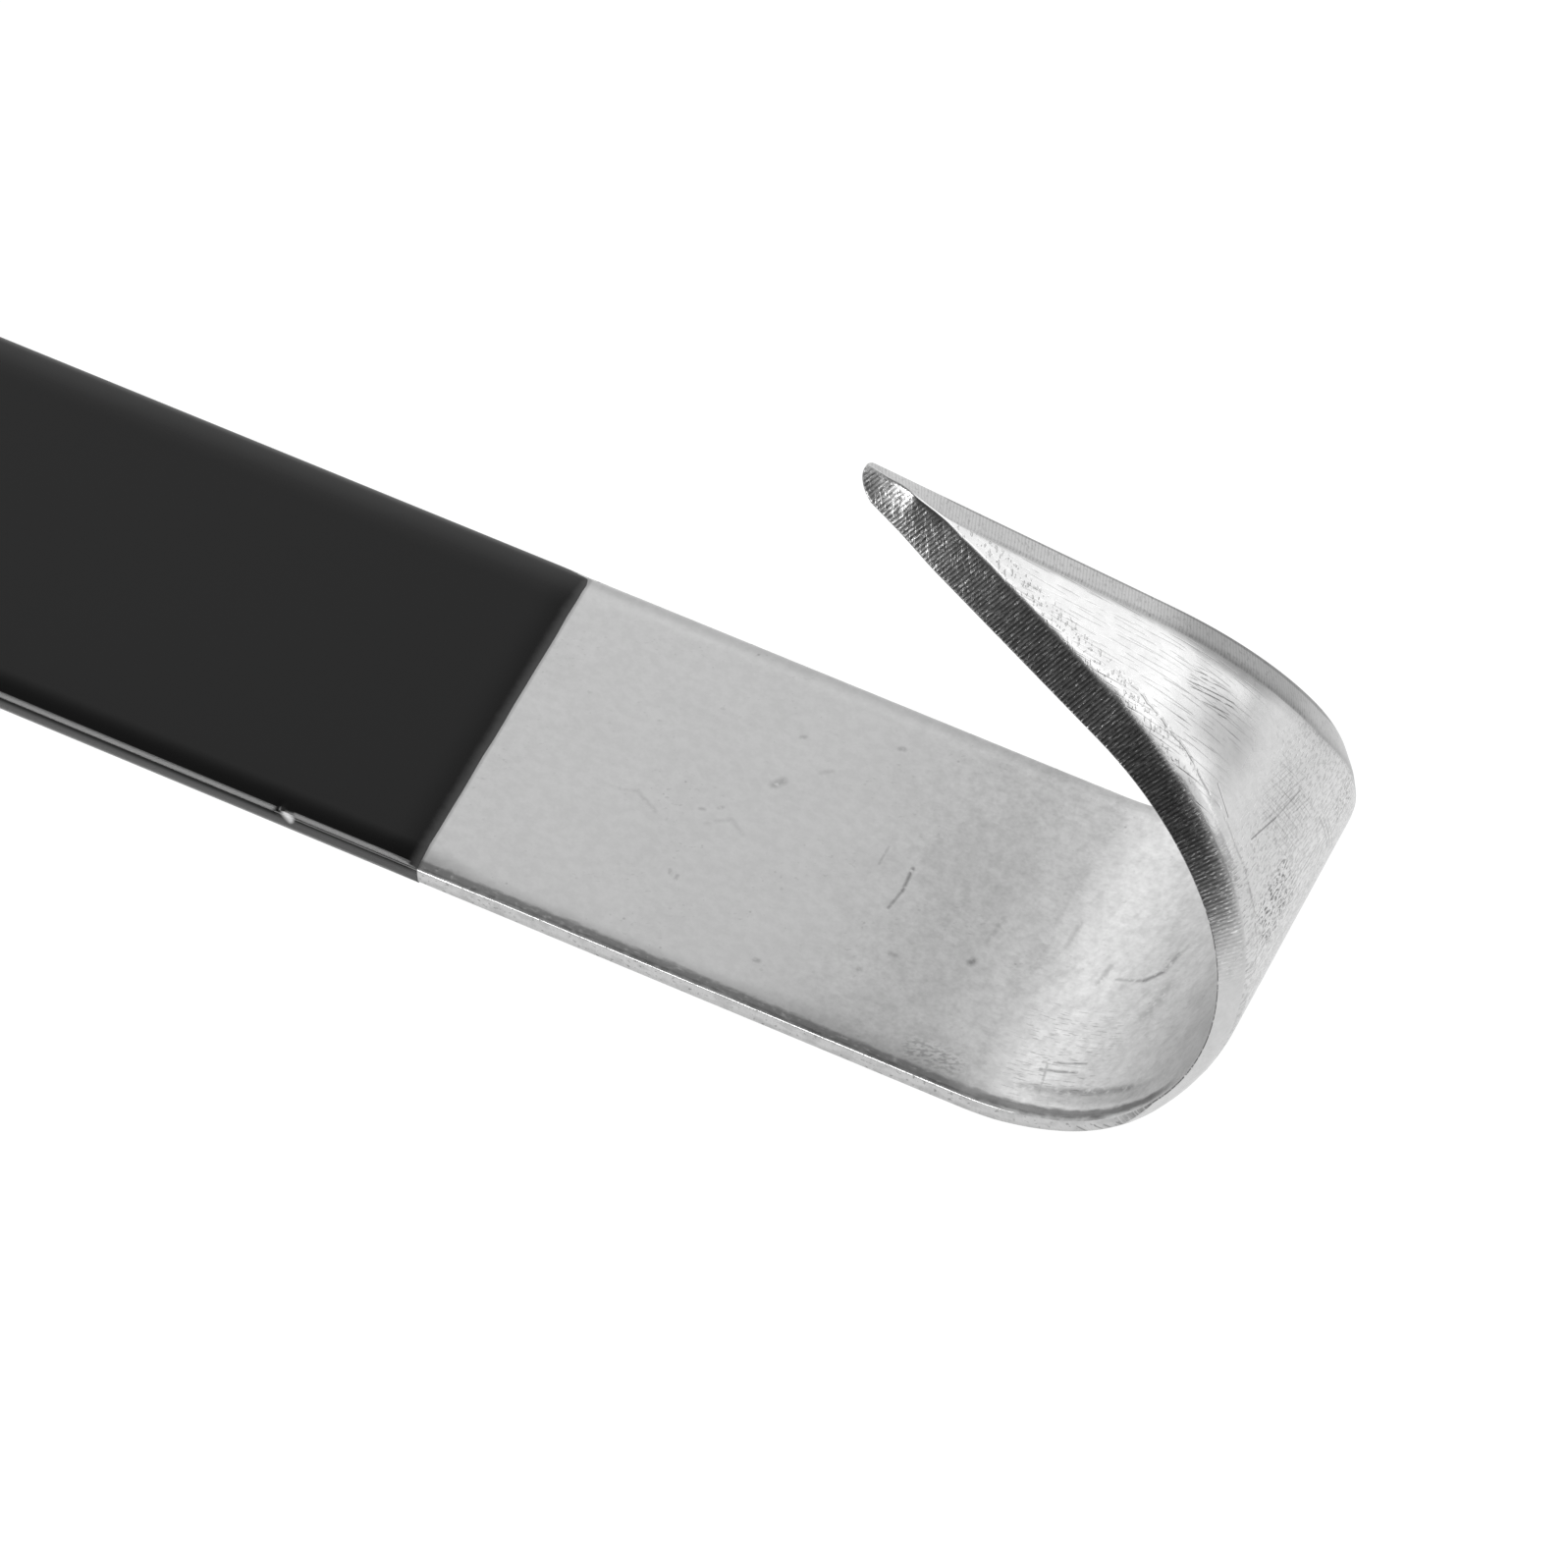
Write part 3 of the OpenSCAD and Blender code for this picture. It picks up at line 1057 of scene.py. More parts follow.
    def stroke(
        self,
        start: tuple[float, float],
        end: tuple[float, float],
        width: float,
        place: bpy.types.NodeSocket | None = None,
    ) -> bpy.types.Node:
        """Mask of one line across the surface, soft at its sides.

        Args:
            start: One end (s, y) in mm.
            end: Other end.
            width: Half its full width in mm.
            place: Other coordinates to draw it on.

        Returns:
            The mask.
        """
        spot = self.place if place is None else place
        along = (end[0] - start[0], end[1] - start[1], 0.0)
        square = max(along[0] ** 2 + along[1] ** 2, 1e-6)
        tree = self.tree
        past = add(tree, "ShaderNodeVectorMath", {0: spot, 1: (*start, 0.0)}, operation="SUBTRACT")
        flat = add(tree, "ShaderNodeVectorMath", {0: past, 1: (1.0, 1.0, 0.0)}, operation="MULTIPLY")
        onto = add(
            tree, "ShaderNodeVectorMath", {0: flat, 1: along}, operation="DOT_PRODUCT"
        ).outputs["Value"]
        ratio = add(tree, "ShaderNodeMath", {0: onto, 1: square}, operation="DIVIDE")
        share = add(tree, "ShaderNodeClamp", {0: ratio})
        nearest = add(tree, "ShaderNodeVectorMath", {0: along, "Scale": share}, operation="SCALE")
        away = add(tree, "ShaderNodeVectorMath", {0: flat, 1: nearest}, operation="DISTANCE").outputs["Value"]
        return add(tree, "ShaderNodeMapRange", {"Value": away, "From Min": width, "From Max": 0.0}, **SMOOTH)

    def patch(self, centre: tuple[float, float], half: tuple[float, float], soft: float) -> bpy.types.Node:
        """Mask of one rounded patch: its middle and half sizes along s and y, and how far it fades."""
        tree = self.tree
        off = add(tree, "ShaderNodeVectorMath", {0: self.place, 1: (*centre, 0.0)}, operation="SUBTRACT")
        size = add(tree, "ShaderNodeVectorMath", {0: off}, operation="ABSOLUTE")
        past = add(tree, "ShaderNodeVectorMath", {0: size, 1: (*half, NO_END)}, operation="SUBTRACT")
        out = add(tree, "ShaderNodeVectorMath", {0: past, 1: (0.0, 0.0, 0.0)}, operation="MAXIMUM")
        far = add(tree, "ShaderNodeVectorMath", {0: out}, operation="LENGTH").outputs["Value"]
        return add(tree, "ShaderNodeMapRange", {"Value": far, "From Min": soft, "From Max": 0.0}, **SMOOTH)

    def finish(self, colour: str, metallic: float, **settings: float) -> bpy.types.Material:
        """Joins tone, roughness and height into one shader.

        Args:
            colour: Colour of the bare surface, in sRGB hex.
            metallic: 1 for metal, 0 for a coat.
            **settings: Other sockets of the shader, with underscores for spaces.

        Returns:
            The material.
        """
        bare = linear(colour)[:3]
        shade = add(self.tree, "ShaderNodeVectorMath", {0: bare, "Scale": self.tone}, operation="SCALE")
        bump = add(self.tree, "ShaderNodeBump", {"Height": self.height, "Distance": MM, "Strength": 1.0})
        sockets = {"Base Color": shade, "Metallic": metallic, "Roughness": self.rough, "Normal": bump}
        sockets.update({name.replace("_", " "): value for name, value in settings.items()})
        surface = add(self.tree, "ShaderNodeBsdfPrincipled", sockets)
        add(self.tree, "ShaderNodeOutputMaterial", {"Surface": surface})
        return self.made


ON_BLANK = ("ShaderNodeAttribute", "Vector")
ON_OBJECT = ("ShaderNodeTexCoord", "Object")


# Single scratches and spots on the inside face: start (s, y), end (s, y), half width in mm, tone.
SCRATCHES = (
    ((-13.03, -2.77), (-12.7, -0.6), 0.26, 0.64),
    ((-12.7, -0.6), (-12.85, 1.95), 0.29, 0.51),
    ((-15.6, 1.1), (-15.6, 3.1), 0.21, 0.82),
    ((-12.4, 3.2), (-11.9, 6.4), 0.75, 0.91),
    ((-4.25, -2.2), (-4.0, 0.8), 0.36, 0.87),
    ((-4.6, -4.75), (-4.45, -4.5), 0.57, 0.56),
    ((-12.7, -9.8), (-12.6, -9.7), 0.45, 0.77),
    ((-20.8, -12.9), (-20.5, -12.85), 0.39, 0.71),
    ((-10.9, -7.0), (-10.6, -7.0), 0.42, 0.79),
    ((-26.9, 4.5), (-26.4, 5.2), 0.68, 0.71),
    ((-26.9, 10.2), (-26.6, 10.4), 0.36, 0.79),
    ((-18.9, 13.0), (-18.6, 13.1), 0.42, 0.74),
    ((-31.4, -0.7), (-31.1, -0.6), 0.33, 0.79),
    ((-30.0, 0.1), (-29.8, 0.3), 0.33, 0.82),
    ((-31.0, -7.7), (-30.8, -8.1), 0.30, 0.74),
    ((-30.2, -8.0), (-30.2, -8.4), 0.30, 0.77),
    ((-38.3, -1.9), (-36.9, -1.5), 0.36, 0.90),
    ((-36.9, -1.5), (-34.7, -2.7), 0.36, 0.87),
    ((-30.3, -1.8), (-28.6, -0.5), 0.39, 0.90),
    ((-28.6, -0.5), (-27.1, -1.5), 0.39, 0.90),
    ((-23.9, 7.5), (-23.1, 8.1), 0.42, 0.87),
    ((0.3, -3.2), (0.6, 0.6), 0.45, 0.91),
    ((1.9, 0.4), (2.1, 3.3), 0.45, 0.84),
    ((6.0, -2.4), (6.3, -0.4), 0.45, 0.74),
    ((7.4, -1.6), (10.0, -1.5), 0.33, 0.69),
    ((10.0, -1.5), (11.5, -0.4), 0.42, 0.48),
    ((11.5, -0.4), (12.1, 1.5), 0.48, 0.61),
    ((12.1, 1.5), (13.0, 2.8), 0.39, 0.82),
    ((11.9, -5.6), (12.8, -2.2), 1.10, 0.80),
    ((5.0, -11.7), (8.8, -11.1), 0.22, 0.61),
    ((5.1, -12.5), (8.3, -12.2), 0.26, 0.55),
    ((5.4, -11.4), (6.0, -14.8), 0.22, 0.69),
    ((4.3, -14.6), (8.7, -14.3), 0.70, 0.74),
    ((8.7, -14.3), (14.6, -14.0), 0.75, 0.64),
)


@dataclass(frozen=True)
class TumbledStainless:
    """Stainless sheet, rumbled with stones after blanking: an even satin grey with small dull flecks."""

    colour: str = "#d2d2d2"
    roughness: float = 0.34

    def weather(self, marks: Marks) -> None:
        """Lays what the whole sheet shows: faint clouds, fine grain, flecks and short smears."""
        marks.lay(marks.grain((7, 5, 5), 0, 3), tone=0.9)
        marks.lay(marks.grain((0.3, 0.3, 0.3)), tone=0.9, height=0.0015)
        marks.lay(marks.streaks((1.1, 0.9, 1.0), 0, (0.35, 0.65)), tone=0.95)
        worn = marks.streaks((7, 5, 5), 30, (0.44, 0.66))
        marks.lay(marks.flecks(1.3, 0.17, 0.3), worn, tone=0.74, rough=0.1, height=-0.006)
        marks.lay(marks.flecks(0.8, 0.09, 0.16), tone=0.84)
        marks.lay(marks.streaks((0.6, 0.4, 0.6), 25, (0.62, 0.72)), worn, tone=0.86)

    def press_marks_and_painted_light(self, marks: Marks) -> None:
        """Lays the marks that pressing left near the bend, and painted light round it.

        The lighter and darker bands across the bend and the patch before it are painted reflection, in place
        of part of what the bend would mirror. The darker far edge is painted shade, and the line beside the
        coat is a painted shadow.
        """
        bend = marks.patch((9, 0), (7, 9), 8)
        pressed = marks.patch((6.5, -10.5), (2.5, 3.5), 3.5)
        marks.lay(marks.streaks((1.3, 0.15, 0.6), 2, (0.57, 0.68)), pressed, tone=0.7, height=-0.006)
        marks.lay(marks.streaks((1.8, 0.35, 0.8), 2, (0.5, 0.7)), pressed, tone=1.07)
        marks.lay(marks.streaks((1.0, 4.5, 2), -18, (0.48, 0.72)), bend, tone=0.92)
        s = marks.parts[0]
        worked_and_highlight_band = marks.between(s, -8.0, 21.0, 16.0)
        marks.lay(worked_and_highlight_band, marks.grain((0.35, 0.3, 0.35), 0, 3), tone=0.78, height=-0.002)
        marks.lay(worked_and_highlight_band, marks.streaks((0.8, 0.8, 0.8), 20, (0.4, 0.68)), tone=0.91)
        marks.lay(worked_and_highlight_band, marks.streaks((2.6, 1.8, 2), -30, (0.4, 0.64)), tone=0.935)
        # Painted reflection: the worked band across the bend is lighter.
        marks.lay(worked_and_highlight_band, tone=1.12)
        # Painted shade: a darker patch across the bar just before the bend.
        marks.lay(marks.patch((-7.5, -2), (1.5, 9), 5), tone=0.94)
        # Painted reflection: a lighter band where the bend starts.
        marks.lay(marks.between(s, -1.0, 4.5, 4.5), tone=1.1)
        # Painted shade darkens the far edge along the bar.
        marks.lay(
            marks.between(marks.parts[1], 17.1, NO_END, 1.3),
            marks.between(s, BEFORE_SCRAPER, 8.0, 6.0),
            tone=0.72,
        )
        # Painted shadow: a dark line on the steel beside the coat's end.
        marks.lay(marks.between(s, -51.0, -49.95, 0.25), tone=0.72)

    def painted_edge_shade(self, marks: Marks) -> None:
        """Lays painted shade along the near edge: dark bands and a dimmed, broken corner.

        The tones stand in for part of what the rolled edge would mirror, and dim and break the corner's
        highlight. The corner is also a little rougher.
        """
        s = marks.parts[0]
        ridges = add(marks.tree, "ShaderNodeAttribute", attribute_name=BladePin.RIDGES.value)
        from_edge = add(marks.tree, "ShaderNodeSeparateXYZ", {0: ridges.outputs["Vector"]}).outputs[2]
        waver = add(
            marks.tree,
            "ShaderNodeMath",
            {0: marks.grain((1.2, 0.5, 0.5)), 1: 0.5, 2: from_edge},
            operation="MULTIPLY_ADD",
        ).outputs[0]
        # Painted shade: dark bands along the rolled edge, in the bend and on the bar.
        marks.lay(marks.between(waver, 0.85, 1.2, 0.5), marks.between(s, 3, 18, 5), tone=0.33)
        rolled = marks.where(marks.between(waver, 0.75, 1.15, 0.45), marks.between(s, -60, -2, 3))
        marks.lay(rolled, marks.streaks((0.6, 0.3, 0.5), 0, (0.1, 0.5)), tone=0.5)
        marks.lay(marks.between(waver, 2.3, 3.2, 0.9), marks.between(s, 7, 15, 4), tone=0.78)
        marks.lay(marks.between(waver, 0.0, 2.4, 5.0), marks.between(s, -12, -3, 8), tone=0.9)
        # Painted shade on the corner dims its highlight and breaks it up; the corner is also a little
        # rougher.
        corner = marks.where(marks.between(from_edge, -1.0, 0.42, 0.15), marks.between(s, -60, 12, 4))
        marks.lay(corner, tone=0.7, rough=0.06)
        marks.lay(corner, marks.streaks((0.9, 0.6, 0.6), 0, (0.42, 0.6)), tone=0.78)

    def handle(self, marks: Marks) -> None:
        """Lays the scratches, spots and the smudge that handling left, each at its own place."""
        broken = marks.streaks((0.6, 0.6, 0.6), 0, (0.26, 0.5))
        drawn = marks.most(
            *(marks.where(marks.stroke(start, end, width), 1 - tone) for start, end, width, tone in SCRATCHES)
        )
        marks.lay(drawn, broken, tone=0.0, height=-0.02)
        marks.lay(marks.stroke((6.9, -3.2), (6.9, -0.8), 0.5), tone=1.08)
        smudge = marks.where(
            marks.patch((-3.6, -14.9), (1.8, 0.3), 1.6), marks.streaks((0.6, 0.25, 0.4), 20, (0.44, 0.6))
        )
        marks.lay(smudge, tone=0.68, rough=0.08)

    def material(self) -> bpy.types.Material:
        """Builds the finish."""
        marks = Marks("tumbled_stainless", ON_BLANK, 1.0, self.roughness)
        self.weather(marks)
        self.press_marks_and_painted_light(marks)
        self.painted_edge_shade(marks)
        self.handle(marks)
        return marks.finish(self.colour, 1.0)


@dataclass(frozen=True)
class ShearedStainless:
    """The blanked side of the sheet: bright, with short marks through its thickness and a dark burr."""

    colour: str = "#cccccc"
    roughness: float = 0.36
    burr_from: float = 20.0

    def material(self) -> bpy.types.Material:
        """Builds the finish."""
        marks = Marks("sheared_stainless", ON_BLANK, 1.0, self.roughness)
        s, _, depth = marks.parts
        marks.lay(marks.grain((0.22, 9, 1.3), 0, 3), tone=0.78, height=0.02)
        marks.lay(marks.streaks((0.5, 9, 0.35), 0, (0.6, 0.7)), tone=0.62, rough=0.1)
        marks.lay(marks.streaks((1.6, 9, 0.9), 0, (0.45, 0.65)), tone=0.86)
        marks.lay(marks.between(depth, 1.3, 3.0, 0.3), tone=0.93, rough=0.06)
        wall = add(marks.tree, "ShaderNodeCombineXYZ", {0: s, 1: depth}).outputs[0]
        for at in (10.5, 12.2, 13.1, 14.4):
            marks.lay(marks.stroke((at, 0.7), (at + 0.9, 1.5), 0.16, wall), tone=0.55)
        burr = marks.between(s, self.burr_from, NO_END, 8.0)
        marks.lay(burr, marks.streaks((0.3, 9, 9), 0, (0.32, 0.5)), tone=0.3, rough=0.1)
        return marks.finish(self.colour, 1.0)


@dataclass(frozen=True)
class GroundStainless:
    """The claw's back: belt-polished and scratched, between bevels that a wheel cut across in fine lines."""

    colour: str = "#cacaca"
    roughness: float = 0.34
    polished: float = 0.2
    bevel_near: float = 0.27
    wheel_mm: float = 0.352

    def material(self) -> bpy.types.Material:
        """Builds the finish."""
        marks = Marks("ground_stainless", ON_BLANK, 1.0, self.roughness)
        ridges = add(marks.tree, "ShaderNodeAttribute", attribute_name=BladePin.RIDGES.value)
        near_gap, far_gap, _ = add(marks.tree, "ShaderNodeSeparateXYZ", {0: ridges.outputs["Vector"]}).outputs
        s = marks.parts[0]
        TumbledStainless().weather(marks)
        claw = marks.between(s, 12.0, 120.0, 12.0)
        facet = marks.where(
            claw, marks.between(near_gap, 0.1, NO_END, 0.2), marks.between(far_gap, 0.1, NO_END, 0.2)
        )
        marks.lay(claw, rough=self.polished - self.roughness)
        # Painted reflection: the claw is lighter from s = 12 to 36 mm.
        marks.lay(marks.between(s, 12.0, 36.0, 4.0), tone=1.07)
        self.polish(marks, facet, near_gap)
        self.scratch(marks, facet)
        self.pit(marks, facet)
        self.cut_near(marks, marks.where(claw, marks.between(near_gap, NO_START, -0.5, 0.6)))
        self.cut_far(marks, marks.where(claw, marks.between(far_gap, NO_START, -0.15, 0.3)), far_gap)
        self.sharpen(marks, marks.between(s, BEFORE_SCRAPER, -230.02, 0.02))
        return marks.finish(self.colour, 1.0)

    def polish(self, marks: Marks, facet: bpy.types.Node, near_gap: bpy.types.NodeSocket) -> None:
        """Lays the polished facet's tones, its fine lines along the claw and its rubbed shoulder. Some tones
        are painted: bands of painted reflection along the claw and painted shade on part of the shoulder.

        Args:
            marks: The marks so far.
            facet: Mask of the facet.
            near_gap: Distance from the near ridge in mm.
        """
        s = marks.parts[0]
        marks.lay(facet, tone=1.1)
        # Tones by distance along the claw, in place of much of what the bent steel would mirror.
        for start, end, soft, tone in (
            (69.0, 75.5, 2.5, 0.93),
            (48.0, 53.0, 3.0, 0.87),
            (25.0, 30.0, 2.5, 0.92),
            (33.0, 46.0, 4.0, 1.12),
        ):
            marks.lay(facet, marks.between(s, start, end, soft), tone=tone)
        # Painted shade dims the shoulder's highlight from s = 43 to 49 mm.
        marks.lay(marks.between(near_gap, -0.1, 0.7, 0.3), marks.between(s, 43.0, 49.0, 3.0), tone=0.75)
        marks.lay(facet, marks.grain((0.4, 0.4, 0.4), 0, 3), tone=0.92, height=0.003)
        along = marks.where(facet, marks.between(s, 49.0, 68.0, 4.0))
        marks.lay(
            along,
            marks.lines((0.5, 9), 83, 0.12, 0.6),
            marks.streaks((2.4, 0.5, 2), -7, (0.46, 0.58)),
            tone=0.78,
            height=-0.006,
        )
        marks.lay(
            along,
            marks.lines((0.83, 9), 79, 0.08, 0.8),
            marks.streaks((3, 0.6, 2), -10, (0.48, 0.58)),
            tone=0.78,
            height=-0.006,
        )
        scored = marks.where(
            marks.patch((51.2, 1.9), (1.5, 0.7), 1.1), marks.streaks((2, 0.4, 2), -20, (0.46, 0.56))
        )
        marks.lay(scored, marks.lines((0.4, 6), 70, 0.22, 0.6), tone=0.4, height=-0.012)
        beside = marks.where(facet, marks.between(near_gap, 0.5, 1.7, 0.8), marks.between(s, 52.0, 76.0, 5.0))
        marks.lay(beside, marks.streaks((0.28, 0.7, 2), -25, (0.56, 0.66)), tone=0.8, height=-0.015)
        shoulder = marks.where(marks.between(near_gap, -0.3, 1.4, 0.5), marks.between(s, 26.0, 66.0, 8.0))
        marks.lay(shoulder, marks.grain((0.4, 0.25, 0.5), 20, 3), tone=0.93, height=0.009)
        waver = add(
            marks.tree,
            "ShaderNodeMath",
            {0: marks.grain((2.5, 9, 9)), 1: -1.2, 2: near_gap},
            operation="MULTIPLY_ADD",
        ).outputs[0]
        crease = marks.where(
            marks.between(waver, 1.15, 1.25, 0.14),
            marks.between(s, 34.0, 56.0, 4.0),
            marks.streaks((0.8, 9, 9), 0, (0.3, 0.5)),
        )
        marks.lay(crease, tone=0.8, height=-0.02)

    def scratch(self, marks: Marks, facet: bpy.types.Node) -> None:
        """Lays the facet's dull patch, crossed scratches and single scratches.

        Args:
            marks: The marks so far.
            facet: Mask of the facet.
        """
        marks.lay(facet, marks.patch((48.6, 0.0), (1.2, 1.0), 3.4), tone=0.76, rough=0.12)
        cross = marks.patch((39.8, 0.6), (1.6, 2.0), 2.6)
        for gap, turn, long, tone in (
            (0.37, 15, 6, 0.84), (0.59, 18, 4, 0.8), (0.43, 78, 6, 0.85), (0.67, 74, 4, 0.82)
        ):
            kept = marks.streaks((1.3 * gap, long, 2), turn, (0.44, 0.5))
            marks.lay(cross, marks.lines((gap, 20), turn, 0.12, 0.1), kept, tone=tone, height=-0.01)
        marks.lay(marks.stroke((41.8, -4.95), (40.6, -1.2), 0.13), tone=0.42, height=-0.015)
        marks.lay(marks.stroke((40.6, -1.2), (39.6, 3.0), 0.1), tone=0.6, height=-0.01)
        marks.lay(marks.stroke((47.2, -4.3), (44.9, -5.7), 0.12), tone=0.45, height=-0.012)
        for at in (0.0, 0.6, 1.3):
            marks.lay(
                marks.stroke((35.6 - at, 4.2 + at), (31.0 - at, 5.4 + at), 0.13), tone=0.7, height=-0.012
            )

    def pit(self, marks: Marks, facet: bpy.types.Node) -> None:
        """Lays the lines across the outside of the bend, its grain and its pits.

        Args:
            marks: The marks so far.
            facet: Mask of the facet.
        """
        s = marks.parts[0]
        across = marks.where(facet, marks.between(s, 18.0, 34.0, 4.0))
        marks.lay(
            across,
            marks.lines((0.5, 9), 4, 0.16, 0.5),
            marks.streaks((0.5, 4, 2), 4, (0.42, 0.56)),
            tone=0.68,
            height=-0.008,
        )
        lower = marks.where(facet, marks.between(s, 20.0, 40.0, 6.0))
        marks.lay(lower, marks.streaks((0.18, 0.7, 2), 4, (0.5, 0.62)), tone=0.78, height=-0.02)
        marks.lay(lower, marks.grain((0.25, 0.4, 0.5), 4, 3), tone=0.91, height=0.009)
        pits = marks.where(
            marks.patch((35.2, -5.2), (1.5, 2.6), 1.6), marks.streaks((0.2, 0.6, 2), 4, (0.54, 0.62))
        )
        marks.lay(pits, tone=0.3, rough=0.15, height=-0.04)
        rim = marks.where(
            marks.patch((33.2, 9.0), (0.8, 1.6), 1.0), marks.streaks((0.3, 0.4, 2), 0, (0.55, 0.63))
        )
        marks.lay(rim, tone=0.5, height=-0.03)

    def cut_near(self, marks: Marks, bevel: bpy.types.Node) -> None:
        """Lays the near bevel's lines, coarser and more broken towards the tip, and painted shade that
        darkens its half towards the tip.

        Args:
            marks: The marks so far.
            bevel: Mask of the near bevel.
        """
        s = marks.parts[0]
        # Painted shade: the near bevel is darker from s = 50 mm on, in place of part of the dark that it
        # would mirror.
        dark = marks.where(bevel, marks.between(s, 50.0, NO_END, 9.0))
        lined = marks.where(bevel, marks.between(s, 45.0, NO_END, 13.0))
        ends = marks.where(bevel, marks.between(s, 82.0, NO_END, 18.0))
        marks.lay(bevel, rough=self.bevel_near - self.polished)
        marks.lay(dark, tone=0.78)
        marks.lay(lined, marks.lines((self.wheel_mm, 4.0), 19, 1.0, 1.5), tone=0.45, height=0.006)
        marks.lay(lined, marks.streaks((0.5, 1.1, 0.6), 19, (0.4, 0.6)), tone=0.75)
        marks.lay(lined, marks.streaks((0.13, 0.5, 0.5), 19, (0.56, 0.68)), tone=2.3, height=0.004)
        marks.lay(lined, marks.flecks(0.7, 0.08, 0.12), tone=1.8)
        marks.lay(ends, tone=1.14, rough=0.1)
        marks.lay(ends, marks.streaks((0.16, 1.3, 1.3), -40, (0.57, 0.66)), tone=1.65, height=0.006)
        marks.lay(ends, marks.streaks((0.8, 0.2, 0.4), 30, (0.6, 0.7)), tone=1.6, height=0.006)
        marks.lay(ends, marks.streaks((0.3, 0.5, 0.5), 0, (0.58, 0.68)), tone=0.45, height=-0.008)

    def cut_far(self, marks: Marks, bevel: bpy.types.Node, far_gap: bpy.types.NodeSocket) -> None:
        """Lays the far bevel's finer lines, the darker lines along its two edges and painted shade along part
        of the claw.

        Args:
            marks: The marks so far.
            bevel: Mask of the far bevel.
            far_gap: Distance from the far ridge in mm.
        """
        s = marks.parts[0]
        marks.lay(bevel, rough=0.12)
        # Painted shade by distance along the claw, in place of part of what the far bevel would mirror.
        marks.lay(bevel, marks.between(s, 20.0, 53.0, 6.0), tone=0.84)
        marks.lay(bevel, marks.between(s, 45.0, 54.0, 5.0), tone=0.72)
        marks.lay(bevel, marks.lines((0.3, 4), -5, 0.6, 1.5), tone=0.84, height=-0.003)
        marks.lay(bevel, marks.streaks((0.2, 0.7, 0.7), -5, (0.56, 0.68)), tone=0.78)
        marks.lay(bevel, marks.flecks(1.0, 0.12, 0.25), tone=0.6, height=-0.01)
        marks.lay(marks.between(s, 14.0, NO_END, 6.0), marks.between(far_gap, NO_START, -2.9, 0.1), tone=0.6)
        claw = marks.between(s, 24.0, 72.0, 5.0)
        soft = add(
            marks.tree,
            "ShaderNodeMath",
            {0: marks.grain((1.5, 1.0, 9)), 1: -0.5, 2: far_gap},
            operation="MULTIPLY_ADD",
        ).outputs[0]
        marks.lay(claw, marks.between(soft, -0.55, -0.1, 0.35), tone=0.87)
        marks.lay(marks.between(s, 30.0, 49.0, 7.0), marks.between(soft, -0.9, 0.5, 0.6), tone=0.92)

    def sharpen(self, marks: Marks, chisel: bpy.types.Node) -> None:
        """Lays the scraper bevel's grinding lines, which run square to its edge."""
        marks.lay(chisel, tone=0.97, rough=-0.04)
        marks.lay(chisel, marks.streaks((3.0, 0.16, 1.0), 0, (0.4, 0.6)), tone=0.82, height=-0.008)
        marks.lay(chisel, marks.lines((0.9, 9.0), 94, 0.15, 0.6), tone=0.8, height=-0.01)


@dataclass(frozen=True)
class BlackCoat:
    """Black powder coat, baked on in a thin layer: near black with a soft sheen and settled dust, and painted
    highlight and reflection on its edges and side.
    """

    colour: str = "#060606"
    roughness: float = 0.2
    end_x: float = 59.0
    palest: float = 400.0

    def material(self) -> bpy.types.Material:
        """Builds the finish."""
        marks = Marks("black_powder_coat", ON_OBJECT, 1 / MM, self.roughness)
        x, y, z = marks.parts
        marks.lay(marks.grain((1.3, 1.3, 1.3)), height=0.0015)
        marks.lay(marks.grain((18, 10, 10), 0, 3), tone=1.25, rough=0.03)
        marks.lay(marks.flecks(16.0, 0.16, 0.5), tone=16.0, rough=0.2)
        feathered = add(
            marks.tree,
            "ShaderNodeMath",
            {0: marks.grain((0.8, 0.8, 0.8)), 1: 0.3, 2: x},
            operation="MULTIPLY_ADD",
        ).outputs[0]
        wall = add(marks.tree, "ShaderNodeCombineXYZ", {0: x, 1: z}).outputs[0]
        # A pale spot beside the dent, drawn like a chip in the coat, is painted highlight.
        pale_dent_highlight = marks.where(
            marks.stroke((46.5, 2.15), (47.3, 1.65), 0.5, wall), marks.between(y, NO_START, -17.25, 0.1)
        )
        # The near corner, the side and the far edge are painted paler: painted highlight and reflection, in
        # place of their shine. The end towards the claw is paler where the coat feathers out.
        corner = marks.most(
            marks.where(marks.between(y, -17.4, -17.08, 0.06), marks.between(x, NO_START, 45.6, 0.3)),
            marks.where(marks.between(y, -17.28, -16.96, 0.06), marks.between(x, 47.6, 58.0, 0.4)),
        )
        pale = marks.most(
            marks.where(pale_dent_highlight, 0.75),
            marks.where(corner, marks.between(z, 1.3, 9.0, 0.2), 0.12),
            marks.where(marks.between(feathered, self.end_x + 0.1, NO_END, 1.1), 0.06),
            marks.where(marks.between(z, -1.0, 1.42, 0.4), 0.092),
            marks.where(marks.between(y, 17.7, NO_END, 1.1), 0.1),
            marks.where(marks.between(y, 17.7, NO_END, 4.5), 0.022),
        )
        marks.lay(pale, tone=self.palest)
        return marks.finish(self.colour, 0.0, IOR=1.45, Specular_IOR_Level=0.29)


# Greys of the room by direction, as the cosine of its angle from the darkest, near the viewer.
GREYS = (
    (-0.6, 0.48), (-0.38, 0.64), (-0.2, 0.74), (-0.05, 0.68), (0.06, 0.54), (0.13, 0.5), (0.2, 0.53),
    (0.3, 0.46), (0.40, 0.41), (0.50, 0.38), (0.64, 0.3), (0.76, 0.16), (0.88, 0.05), (1.0, 0.03),
)
